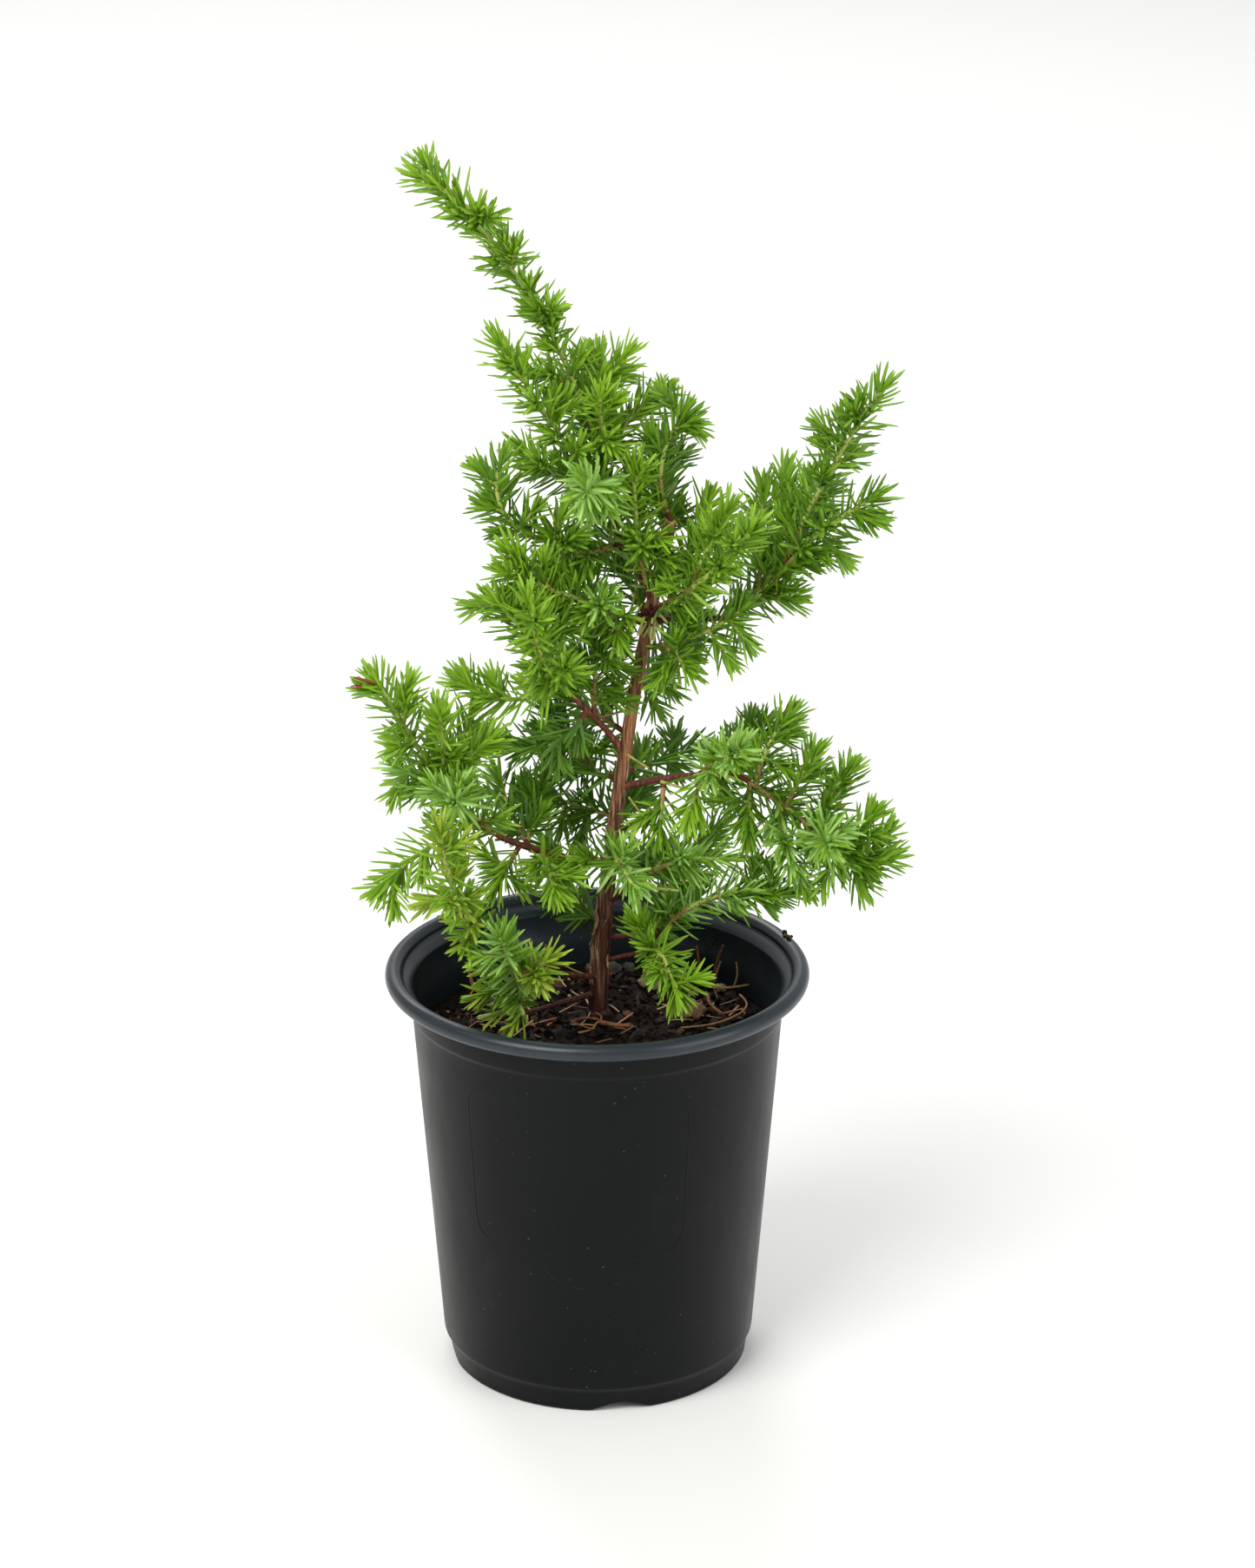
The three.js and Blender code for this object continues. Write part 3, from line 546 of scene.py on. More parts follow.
def add_side_shoot(line, kind, share, angle, lean, length):
    """A short shoot on a line, left out where it would touch wood, pot or soil, or crowd a solid's twig."""
    foot = point_along(line["path"], share)
    tip = foot + leaning(heading_along(line["path"], share), angle, lean) * length
    points = foot + (tip - foot) * (np.arange(SAMPLES) + 1)[:, None] / SAMPLES
    room = clear_of_pot(points, SIDE_RADIUS) & clear_of_wood(points, SIDE_RADIUS)
    if kind == "side":
        for other in lines:
            room &= other is line or distance_to_path(points, other["path"]) > SIDE_ROOM
    if room.all():
        add_straight_shoot(line["mass"], kind, foot, tip, line["tint"])


def grow_side_twigs(line, draw):
    """The short side twigs of the solids."""
    count = int(line["length"] / SIDE_SPACING)
    for i in range(count):
        share = (i + draw(0.3, 0.8)) / count
        add_side_shoot(line, "side", share, draw(0, 360), SIDE_SPREAD, SIDE_LENGTH * draw(0.95, 1.3))


def grow_tufts(line, draw):
    """Finer, shorter shoots between the side twigs, which the solids leave out."""
    spacing = TUFT_SPACING * (DENSE_SHARE if line["mass"] in DENSE_MASSES else 1)
    count = int(line["length"] / spacing)
    for i in range(count):
        share = (i + draw(0.2, 0.9)) / (count + 0.4)
        add_side_shoot(line, "tuft", share, draw(0, 360), draw(32, 50), TUFT_LENGTH * draw(0.7, 1.3))


def nearest_point(mass, place):
    """The point of a mass's stem and twigs that lies nearest to a place."""
    own = [line for line in lines if line["mass"] == mass and line["kind"] in ("stem", "twig")]
    points = np.concatenate([point_along(line["path"], np.linspace(0.04, 1, 24)) for line in own])
    return points[np.linalg.norm(points - place, axis=1).argmin()]


def grow_fine_shoots():
    for mass, tips in FINE_SHOOTS.items():
        for tip in np.array(tips) * MM:
            add_straight_shoot(mass, "side", nearest_point(mass, tip), tip, None)


# Meshes


def link_object(name, data):
    made = bpy.data.objects.new(name, data)
    bpy.context.scene.collection.objects.link(made)
    return made


class Pile:
    """Meshes joined into one piece: points, faces by their number of corners, and each face's material."""

    def __init__(self):
        self.points, self.blocks, self.looks, self.count = [], [], [], 0

    def add(self, points, blocks, look=0):
        """look is one material number for all the faces, or one array of them for each block."""
        for index, block in enumerate(blocks):
            self.blocks.append(np.asarray(block) + self.count)
            own = look if np.isscalar(look) else look[index]
            self.looks.append(np.full(len(block), own) if np.isscalar(own) else own)
        self.points.append(points)
        self.count += len(points)

    def finish(self, name, materials, slot, replaced=(), smooth=True):
        sizes = np.concatenate([np.full(len(block), block.shape[1]) for block in self.blocks])
        corners = np.concatenate([block.ravel() for block in self.blocks])
        looks = np.concatenate(self.looks)
        worn = sorted(set(looks.tolist()))
        mesh = bpy.data.meshes.new(name)
        mesh.vertices.add(self.count)
        mesh.vertices.foreach_set("co", np.concatenate(self.points).astype(np.float32).ravel())
        mesh.loops.add(len(corners))
        mesh.loops.foreach_set("vertex_index", corners.astype(np.int32))
        mesh.polygons.add(len(sizes))
        mesh.polygons.foreach_set("loop_start", (np.cumsum(sizes) - sizes).astype(np.int32))
        for look in worn:
            mesh.materials.append(materials[look])
        mesh.polygons.foreach_set("material_index", np.searchsorted(worn, looks).astype(np.int32))
        mesh.polygons.foreach_set("use_smooth", np.full(len(sizes), smooth))
        mesh.update(calc_edges=True)
        mesh.validate()
        piece = link_object(name, mesh)
        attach(piece, "root")
        if replaced:
            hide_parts(*replaced)


def smooth_path(points, count):
    """A rounder line through the same points."""
    points = np.asarray(points)
    ends = np.vstack((2 * points[0] - points[1], points, 2 * points[-1] - points[-2]))
    place = np.linspace(0, len(points) - 1, count)
    step = np.minimum(place.astype(int), len(points) - 2)
    t = (place - step)[:, None]
    a, b, c, d = (ends[step + shift] for shift in range(4))
    square, cube = 2 * a - 5 * b + 4 * c - d, 3 * b - a - 3 * c + d
    return 0.5 * (2 * b + (c - a) * t + square * t ** 2 + cube * t ** 3)


def frames_along(path):
    """Two directions square to the path at each point, turning as little as they can."""
    ahead = unit(np.gradient(path, axis=0))
    out = square_to(ahead[:1], np.zeros(1))[0]
    outs = []
    for along in ahead:
        out = out - along * (out @ along)
        out = out / np.linalg.norm(out)
        outs.append(out)
    outs = np.array(outs)
    return outs, np.cross(ahead, outs)


def ring_faces(rings, sides, caps=True):
    ring, side = np.meshgrid(np.arange(rings - 1), np.arange(sides), indexing="ij")
    near, far = (ring * sides + side).ravel(), (ring * sides + (side + 1) % sides).ravel()
    blocks = [np.stack((near, far, far + sides, near + sides), 1)]
    if caps:
        first = np.arange(sides)
        blocks.append(np.stack((first[::-1], first + (rings - 1) * sides)))
    return blocks


def add_tube(pile, path, radii, sides, look=0):
    """A closed tube. radii is one number for each point of its path, or one for each side there."""
    first, second = frames_along(path)
    angles = (np.arange(sides) / sides * 2 * math.pi)[None, :, None]
    radii = np.asarray(radii)
    radii = radii[:, None] if radii.ndim == 1 else radii
    out = np.cos(angles) * first[:, None] + np.sin(angles) * second[:, None]
    points = path[:, None] + out * radii[..., None]
    pile.add(points.reshape(-1, 3), ring_faces(len(path), sides), look)


def add_ribbon(pile, centre, half_side, half_out, look, closed=False):
    """A flat strip with some thickness, from its middle line and its two half widths."""
    low, high = centre - half_out, centre + half_out
    ring = np.stack((low - half_side, low + half_side, high + half_side, high - half_side), 1)
    count = len(centre)
    faces = [ring_faces(count + 1, 4, caps=False)[0] % (4 * count)] if closed else ring_faces(count, 4)
    pile.add(ring.reshape(-1, 3), faces, look)


# Needles

# A needle's width along it, and its section: a shallow groove above a keel, with a pale stripe in the groove.
NEEDLE_SHARES = np.array((0, 0.1, 0.4, 0.75, 0.91))
NEEDLE_PROFILE = np.array((0.74, 0.9, 1.0, 0.94, 0.6))
SECTION_ACROSS = np.array((-1, -0.22, 0.22, 1, 0))
SECTION_UP = np.array((0.24, 0.0, 0.0, 0.24, -0.75))
STRIPE_SIDE = 1
TESTED_SHARES = np.array((0.45, 0.75, 1.0))


def needle_template():
    """The faces of one needle: five rings of five points, a point at the tip and a cap at the foot."""
    rings, sides = len(NEEDLE_SHARES), len(SECTION_ACROSS)
    quads = ring_faces(rings, sides, caps=False)[0]
    side = np.arange(sides)
    top = (rings - 1) * sides
    tips = np.stack((top + side, top + (side + 1) % sides, np.full(sides, rings * sides)), 1)
    cap = side[::-1][None]
    on_stripe = [np.tile(side == STRIPE_SIDE, rings - 1), side == STRIPE_SIDE, np.zeros(1, bool)]
    return [quads, tips, cap], on_stripe


def add_needles(pile, foot, aim, up, length, width, bend, body, stripe):
    """Grooved awl-shaped needles. up faces the shoot, and body and stripe are material numbers."""
    count = len(foot)
    if not count:
        return
    side = np.cross(aim, up)
    reach = length[:, None] * NEEDLE_SHARES
    centre = foot[:, None] + aim[:, None] * reach[..., None]
    centre = centre + up[:, None] * (bend[:, None] * length[:, None] * NEEDLE_SHARES ** 2)[..., None]
    half = (width[:, None] / 2 * NEEDLE_PROFILE)[..., None, None]
    ring = centre[:, :, None] + half * (
        side[:, None, None] * SECTION_ACROSS[:, None] + up[:, None, None] * SECTION_UP[:, None]
    )
    tip = foot + (aim + up * bend[:, None]) * length[:, None]
    points = np.concatenate((ring.reshape(count, -1, 3), tip[:, None]), 1)
    blocks, on_stripe = needle_template()
    starts = np.arange(count) * points.shape[1]
    faces = [(starts[:, None, None] + block).reshape(-1, block.shape[1]) for block in blocks]
    looks = [np.where(mask, stripe[:, None], body[:, None]).ravel() for mask in on_stripe]
    pile.add(points.reshape(-1, 3), faces, looks)


def needle_ups(aim, along):
    """The side of each needle that faces the shoot, along which it lies."""
    return unit(along - aim * (aim * along).sum(-1, keepdims=True))


def shoot_radii(line, count):
    foot = {"stem": STEM_FOOT_RADIUS, "twig": TWIG_FOOT_RADIUS}.get(line["kind"], TWIG_TIP_RADIUS)
    return lerp(foot, TWIG_TIP_RADIUS, np.linspace(0, 1, count))


def whorl_shares(length, spread):
    """Where along a shoot its whorls stand, crowded towards the tip. A spread above 1 sets them wider."""
    places, back = [], 0.3 * SPACING_AT_TIP
    while back < length * 0.97:
        places.append(1 - back / length)
        back += spread * lerp(SPACING_AT_TIP, SPACING_BELOW, min(back / CROWDED_LENGTH, 1))
    return np.array(places[::-1])


def grow_needles(pile, line, rng):
    """Whorls of three along a shoot, each turned a sixth of a turn from the last, and a brush at its tip."""
    path = smooth_path(line["path"], 4 * len(line["path"]))
    places = whorl_shares(line["length"], line["spread"])
    whorls = len(places)
    whorl = np.repeat(np.arange(whorls), 3)
    side = np.tile(np.arange(3), whorls)
    share = np.clip(places[whorl] + rng.uniform(-0.5, 0.5, len(whorl)) * MM / line["length"], 0.01, 0.999)
    near_tip = np.clip(1 - (1 - share) * line["length"] / CROWDED_LENGTH, 0, 1)
    lean = lerp(LEAN_AT_FOOT, LEAN_AT_TIP, near_tip) + rng.normal(0, LEAN_SPREAD, len(share))
    size = rng.uniform(*SIZES, len(share)) * lerp(1, YOUNG_SIZE, near_tip)

    short = line["kind"] in ("side", "tuft")
    brush = SHORT_TIP_NEEDLES if short else TIP_NEEDLES
    share = np.append(share, np.full(brush, 0.999))
    whorl = np.append(whorl, np.full(brush, whorls))
    side = np.append(side, np.arange(brush) * BRUSH_TURN)
    lean = np.append(lean, np.linspace(*BRUSH_LEAN, brush) + rng.normal(0, 4, brush))
    size = np.append(size, np.linspace(*BRUSH_SIZE, brush)) * (SHORT_SHOOT_SIZE if short else 1)

    count = len(share)
    foot = point_along(path, share)
    along = heading_along(path, share)
    angle = WHORL_TURN * whorl + SIDE_TURN * side + rng.uniform(-TURN_SPREAD, TURN_SPREAD, count)
    aim = leaning(along, angle, lean)
    up = needle_ups(aim, along)
    up = unit(up + np.cross(aim, up) * rng.normal(0, ROLL_SPREAD, count)[:, None])
    length = NEEDLE_LENGTH * size
    bend = rng.normal(BEND, BEND, count)

    reach = length[:, None] * TESTED_SHARES
    samples = (foot[:, None] + aim[:, None] * reach[..., None]).reshape(-1, 3)
    room = clear_of_pot(samples, NEEDLE_ROOM) & clear_of_wood(samples, NEEDLE_ROOM)
    kept = room.reshape(count, -1).all(1) & (rng.random(count) > LOST_NEEDLES)
    foot, aim, up, length, bend, share = (part[kept] for part in (foot, aim, up, length, bend, share))
    width = NEEDLE_WIDTH * rng.uniform(*WIDTHS, len(share))
    body = deal_tints(MASSES[line["mass"]]["shade"], line["tint"], share, rng)
    add_needles(pile, foot, aim, up, length, width, bend, body, body + len(TINTS))


# Materials


def linear(code):
    """A colour given as six hexadecimal sRGB digits."""
    parts = np.array([int(code[i:i + 2], 16) for i in (0, 2, 4)]) / 255
    parts = np.where(parts <= 0.04045, parts / 12.92, ((parts + 0.055) / 1.055) ** 2.4)
    return (*parts.tolist(), 1.0)


def start_material(name, roughness, specular):
    material = bpy.data.materials.new(name)
    material.use_nodes = True
    shader = material.node_tree.nodes["Principled BSDF"]
    shader.inputs["Roughness"].default_value = roughness
    shader.inputs["Specular IOR Level"].default_value = specular
    return material, shader


def plain_material(name, colour, roughness, specular):
    material, shader = start_material(name, roughness, specular)
    shader.inputs["Base Color"].default_value = linear(colour)
    return material


def plain_materials(*rows):
    return [plain_material(*row) for row in rows]


class Look:
    """A material made of nodes, whose patterns lie in the object's own space."""

    def __init__(self, name, roughness, specular):
        self.material, self.shader = start_material(name, roughness, specular)
        self.tree = self.material.node_tree
        self.place = self.node("ShaderNodeTexCoord", "Object")

    def node(self, kind, result, settings=None, **inputs):
        """One node's result. Each input is a number or another node's result, and _ stands for a space."""
        made = self.tree.nodes.new(kind)
        for key, value in (settings or {}).items():
            setattr(made, key, value)
        for key, value in inputs.items():
            target = made.inputs[key.replace("_", " ")]
            if isinstance(value, bpy.types.NodeSocket):
                self.tree.links.new(value, target)
            else:
                target.default_value = value
        return made.outputs[result]

    def noise(self, scale, detail=4, roughness=0.55, stretch=(1, 1, 1)):
        place = self.node("ShaderNodeMapping", "Vector", Scale=stretch, Vector=self.place)
        return self.node(
            "ShaderNodeTexNoise", "Fac", Vector=place, Scale=scale, Detail=detail, Roughness=roughness,
        )

    def map_range(self, value, low, high, to_low, to_high):
        ends = dict(From_Min=low, From_Max=high, To_Min=to_low, To_Max=to_high)
        return self.node("ShaderNodeMapRange", "Result", Value=value, **ends)

    def height_share(self, low, high):
        """0 below one height and 1 above another."""
        return self.map_range(self.node("ShaderNodeSeparateXYZ", "Z", Vector=self.place), low, high, 0, 1)

    def ramp(self, value, *stops):
        """Colours by value. Each stop is a place from 0 to 1 and a colour."""
        colour = self.node("ShaderNodeValToRGB", "Color", Fac=value)
        elements = colour.node.color_ramp.elements
        while len(elements) < len(stops):
            elements.new(0.5)
        for element, (place, code) in zip(elements, stops):
            element.position = place
            element.color = linear(code)
        return colour

    def mix(self, share, first, second, blend="MIX"):
        settings = dict(data_type="RGBA", blend_type=blend)
        return self.node("ShaderNodeMix", "Result", settings, Factor=share, A=first, B=second)

    def set(self, name, output):
        self.tree.links.new(output, self.shader.inputs[name])

    def bump(self, height, strength, distance):
        inputs = dict(Strength=strength, Distance=distance, Height=height)
        self.set("Normal", self.node("ShaderNodeBump", "Normal", **inputs))


def bark_look(name, dark, middle, light, strip_scale):
    look = Look(name, 0.62, 0.35)
    strips = look.noise(strip_scale, 6, 0.6, stretch=(1, 1, 0.12))
    tone = look.ramp(strips, (0.4, dark), (0.48, middle), (0.54, middle), (0.62, light))
    patches = look.noise(90, 3)
    patchy = look.ramp(patches, (0, dark), (1, middle))
    tone = look.mix(look.map_range(patches, 0.35, 0.65, 0.0, 0.5), tone, patchy)
    wet = look.ramp(look.height_share(0.141, 0.153), (0, "3a2420"), (1, "ffffff"))
    look.set("Base Color", look.mix(1.0, tone, wet, "MULTIPLY"))
    look.bump(look.noise(strip_scale * 2, 6, 0.65, stretch=(1, 1, 0.2)), 0.5, 0.0003)
    return look.material


def trunk_look():
    """Streaked bark: tan above, red-brown below and dark where it is wet from the soil."""
    look = Look("trunk_bark", 0.6, 0.35)
    streaks = look.noise(760, 6, 0.62, stretch=(1, 1, 0.06))
    upper = look.ramp(streaks, (0.38, "4a2a1a"), (0.48, "94603c"), (0.56, "b4805a"), (0.66, "d2aa84"))
    lower = look.ramp(streaks, (0.38, "2c1b14"), (0.48, "5a3828"), (0.57, "7e523e"), (0.68, "b4967a"))
    foot = look.ramp(streaks, (0.4, "26100c"), (0.6, "582a20"))
    tone = look.mix(look.height_share(0.2, 0.262), lower, upper)
    tone = look.mix(look.height_share(0.142, 0.158), foot, tone)
    blotches = look.noise(120, 4, 0.6, stretch=(1, 1, 0.4))
    blotchy = look.ramp(streaks, (0.4, "3c2016"), (0.65, "7e4830"))
    look.set("Base Color", look.mix(look.map_range(blotches, 0.5, 0.7, 0.0, 0.45), tone, blotchy))
    look.bump(look.noise(1500, 6, 0.65, stretch=(1, 1, 0.12)), 0.6, 0.0003)
    return look.material


def pot_look(name, low, high, roughness, specular):
    """Smooth dark plastic with handling marks: pale specks, dusty smears and a fine grain."""
    look = Look(name, roughness, specular)
    tone = look.ramp(look.noise(14, 5), (0.3, low), (0.7, high))
    dust = look.ramp(look.noise(38, 6, 0.65, stretch=(1, 1, 0.6)), (0.6, "000000"), (0.85, "121414"))
    specks = look.ramp(look.noise(640, 2, 0.5), (0.74, "000000"), (0.78, "4c4e4c"))
    look.set("Base Color", look.mix(1.0, look.mix(1.0, tone, dust, "ADD"), specks, "ADD"))
    smears = look.noise(60, 6, 0.6, stretch=(1, 1, 0.35))
    look.set("Roughness", look.map_range(smears, 0.3, 0.7, roughness - 0.05, roughness + 0.07))
    look.bump(look.noise(1500, 3), 0.06, 0.0002)
    return look.material


def soil_look():
    look = Look("soil_mix", 0.8, 0.12)
    grains, damp = look.noise(420, 8, 0.7), look.noise(45, 3)
    tone = look.ramp(grains, (0.35, "0b0704"), (0.52, "1a1109"), (0.66, "2a1d12"), (0.8, "42311f"))
    wet = look.ramp(grains, (0.3, "0c0806"), (0.8, "1e140e"))
    look.set("Base Color", look.mix(look.map_range(damp, 0.4, 0.6, 0.0, 0.6), tone, wet))
    look.set("Roughness", look.map_range(damp, 0.4, 0.6, 0.85, 0.45))
    look.bump(look.noise(700, 8, 0.7), 0.8, 0.0006)
    return look.material


def stone_look(name, dark, light):
    look = Look(name, 0.75, 0.3)
    look.set("Base Color", look.ramp(look.noise(350, 6, 0.65), (0.3, dark), (0.65, light)))
    look.bump(look.noise(900, 5), 0.5, 0.0003)
    return look.material


def stone_looks(*rows):
    return [stone_look(*row) for row in rows]


# Needle colours: the body's and the pale stripe's.
NEEDLE_COLOURS = dict(
    bright=("8ab428", "a8ca62"),
    fresh=("7aa622", "9abe58"),
    grass=("6a961c", "8cb04a"),
    middle=("5a8618", "7ea442"),
    deep=("4c7814", "6e963a"),
    dark=("3e6612", "5c8432"),
    blue=("98c458", "bedc98"),
    yellow=("9cb634", "bece6e"),
    brown=("94552e", "b07a4c"),
)
TINTS = list(NEEDLE_COLOURS)
# Each tone's tints, from the youngest needles' to the oldest. The dark tone's darker tints are partly painted
# shade, and the bright tone's lighter tints are partly painted light.
SHADES = dict(
    bright=("bright", "fresh", "grass"),
    middle=("fresh", "grass", "middle"),
    dark=("grass", "middle", "deep"),
    yellow=("yellow", "bright", "fresh"),
)


def tint(name):
    return TINTS.index(name)


def needle_materials():
    """The bodies' materials, and then the stripes' in the same order."""
    bodies = [(f"needle_{name}", body, 0.45, 0.35) for name, (body, _) in NEEDLE_COLOURS.items()]
    stripes = [(f"stripe_{name}", stripe, 0.5, 0.35) for name, (_, stripe) in NEEDLE_COLOURS.items()]
    return plain_materials(*bodies, *stripes)


def twig_materials():
    return plain_materials(
        ("twig_brown", "6e3a24", 0.6, 0.35),
        ("twig_tan", "b48f58", 0.55, 0.4),
        ("twig_green", "b2bb62", 0.5, 0.4),
    )


def deal_tints(shade, special, share, rng):
    """Each shoot's own pair of tints, dealt out among its needles, with the youngest at the tip."""
    tints = [tint(name) for name in SHADES[shade]]
    main, other = rng.choice(tints, 2, replace=False)
    if special:
        main = tint(special)
    chance = rng.random(len(share))
    body = np.where(chance < 0.66, main, other)
    if not special:
        body = np.where((share > 0.8) & (chance > 0.3), tints[0], body)
    return np.where((share < 0.2) & (chance < 0.35), tints[-1], body)


# Trunk and boughs

FOOT_DEPTH = 3 * MM
TRUNK_BARK = dict(sides=72, spacing=0.8 * MM, ridge=0.34 * MM)
BOUGH_BARK = dict(sides=22, spacing=0.7 * MM, ridge=0.16 * MM)


def bark_radii(path, radius_at, sides, ridge, rng):
    """The radius of each side of each ring, with ridges that run lengthwise and wander."""
    share = np.linspace(0, 1, len(path))
    along, across = np.meshgrid(share, np.arange(sides) / sides, indexing="ij")
    length = path_length(path)
    across = (across + 0.12 * (ripple(across, along, 3, 6, rng) - 0.5)) % 1

    def strands(count, cell, fewest):
        return ripple(across, along, count, max(int(length / cell), fewest), rng)

    ridges = 1 - np.abs(2 * strands(11, 0.012, 3) - 1)
    strips = strands(26, 0.005, 6) - 0.5
    fine = strands(40, 0.0015, 12) - 0.5
    return radius_at(share)[:, None] + ridge * (ridges - 0.6 + 0.6 * strips + 0.35 * fine)


def add_bark(pile, path, radius_at, rng, sides, spacing, ridge, tip_look=0):
    length = path_length(path)
    path = smooth_path(path, max(int(length / spacing), 6))
    radii = bark_radii(path, radius_at, sides, ridge, rng)
    add_tube(pile, path, radii, sides, [0, np.array((0, tip_look))])


def make_trunk(rng):
    """The trunk, its foot sunk a little into the soil."""
    pile = Pile()
    path = limbs["trunk"]["path"]
    below = path[0] - (0, 0, FOOT_DEPTH)
    length = TRUNK["length"]

    def radius_at(share):
        return trunk_radius_at(np.clip((share * (length + FOOT_DEPTH) - FOOT_DEPTH) / length, 0, 1))

    add_bark(pile, np.vstack((below, path)), radius_at, rng, **TRUNK_BARK, tip_look=1)
    add_flakes(pile, rng)
    add_spurs(pile, rng)
    flakes = bark_look("bark_flakes", "74503c", "b08a6c", "d6b898", 900)
    looks = [trunk_look(), plain_material("cut_wood", "c9a27c", 0.7, 0.3), flakes]
    pile.finish("trunk_with_bark", looks, "bark", ["trunk"])


def add_flakes(pile, rng):
    """Thin strips of bark that peel away from the trunk, many of them at the left of its foot."""
    trunk, share_along = limbs["trunk"]["path"], np.linspace(0, 1, 8)
    for _ in range(FLAKE_COUNT):
        frayed = rng.random() < 0.5
        share = rng.uniform(0.05, 0.22) if frayed else rng.uniform(0.02, 0.75)
        bearing = rng.uniform(185, 235) if frayed else rng.uniform(0, 360)
        length = rng.uniform(3, 9) * MM
        shares = np.clip(share + length / TRUNK["length"] * share_along, 0, 0.98)
        along = heading_along(trunk, shares)
        out = heading(bearing + rng.uniform(-25, 25) * share_along, np.zeros(8))
        out = unit(out - along * (out * along).sum(1, keepdims=True))
        lift = rng.uniform(0.3, 1.6) * MM * share_along[:: rng.choice((-1, 1))] ** 2
        reach = trunk_radius_at(shares) + 0.15 * MM + lift
        centre = point_along(trunk, shares) + out * reach[:, None]
        half = rng.uniform(0.3, 0.7) * MM * np.sin(np.linspace(0.35, 2.8, 8))
        add_ribbon(pile, centre, np.cross(along, out) * half[:, None], out * 0.09 * MM, 2)


def add_spurs(pile, rng):
    """Short dead spurs on the trunk."""
    trunk = limbs["trunk"]["path"]
    for _ in range(SPUR_COUNT):
        share = rng.uniform(0.08, 0.72)
        aim = leaning(heading_along(trunk, share), rng.uniform(0, 360), rng.uniform(50, 80))
        reach = trunk_radius_at(share) + rng.uniform(1.0, 3.5) * MM
        path = point_along(trunk, share) + aim * np.linspace(0, reach, 5)[:, None]
        add_tube(pile, path, np.linspace(0.7, 0.35, 5) * MM, 8)


def make_boughs(rng):
    looks = [bark_look("bough_bark", "3a1c15", "693325", "955c42", 900)]
    for name in BOUGHS:
        pile, limb = Pile(), limbs[name]
        foot_radius, tip_radius = limb["radius_at"](0) * 0.82, limb["radius_at"](1) * 0.95

        def radius_at(share):
            return lerp(foot_radius, tip_radius, share)

        add_bark(pile, np.vstack((limb["root"], limb["path"])), radius_at, rng, **BOUGH_BARK)
        pile.finish(f"bough_{name}_with_bark", looks, "bark", [f"bough_{name}"])


# Twigs and needles


def add_twig(pile, line):
    """The shoot itself from its carrier's middle line: brown at a mass's foot, tan, then pale green."""
    path = line["path"] if line["root"] is None else np.vstack((line["root"], line["path"]))
    count = max(int(line["length"] / (1.6 * MM)), 4)
    path = smooth_path(path, count)
    path = np.vstack((path, path[-1] + (path[-1] - path[-2]) * 0.4))
    radii = np.append(shoot_radii(line, count), 0.2 * MM)
    share = np.arange(count) / count
    brown, tan = {"stem": (0.16, 0.42), "twig": (0, 0.25)}.get(line["kind"], (0, 0))
    ages = np.where(share < brown, 0, np.where(share < tan, 1, 2))
    add_tube(pile, path, radii, TWIG_SIDES, [np.repeat(ages, TWIG_SIDES), np.array((ages[0], ages[-1]))])


def add_dead_tips(pile, mass, rng):
    """Brown needles bunched at the shoot nearest to each place where the photo shows a dead tip."""
    for owner, place, bearing, rise, length, count in DEAD_TIPS:
        if owner != mass:
            continue
        foot = np.tile(nearest_point(mass, np.array(place) * MM), (count, 1))
        along = np.tile(heading(bearing, rise), (count, 1))
        aim = leaning(along, rng.uniform(0, 360, count), rng.uniform(3, 22, count))
        lengths = length * MM * rng.uniform(0.75, 1.05, count)
        width, bend = np.full(count, 1.3 * MM), rng.normal(0, 0.06, count)
        body = np.full(count, tint("brown"))
        add_needles(pile, foot, aim, needle_ups(aim, along), lengths, width, bend, body, body + len(TINTS))


def make_masses(rng):
    needle_looks, twig_looks = needle_materials(), twig_materials()
    for name, mass in MASSES.items():
        twigs, needles = Pile(), Pile()
        for line in lines:
            if line["mass"] == name:
                add_twig(twigs, line)
                grow_needles(needles, line, rng)
        add_dead_tips(needles, name, rng)
        slot = f"needles_{mass['shade']}"
        needles.finish(f"sprays_{name}", needle_looks, slot, [f"needles_{name}"], smooth=False)
        twigs.finish(f"twigs_{name}", twig_looks, slot)


# Pot


ROUND_THE_POT = np.arange(POT_SEGMENTS) / POT_SEGMENTS * 2 * math.pi


def ring_points(radius, bearing, height):
    across = radius * np.cos(bearing)
    return np.stack((across, radius * np.sin(bearing), np.broadcast_to(height, across.shape)), -1)


def arc(centre, radius, start, end, count):
    angles = np.linspace(start, end, count)
    return [(centre[0] + radius * math.cos(a), centre[1] + radius * math.sin(a)) for a in angles]


def offsets(radius, height, *steps):
    """Points at steps out and up, in millimetres, from one radius and height."""
    return [(radius + out * MM, height + up * MM) for out, up in steps]


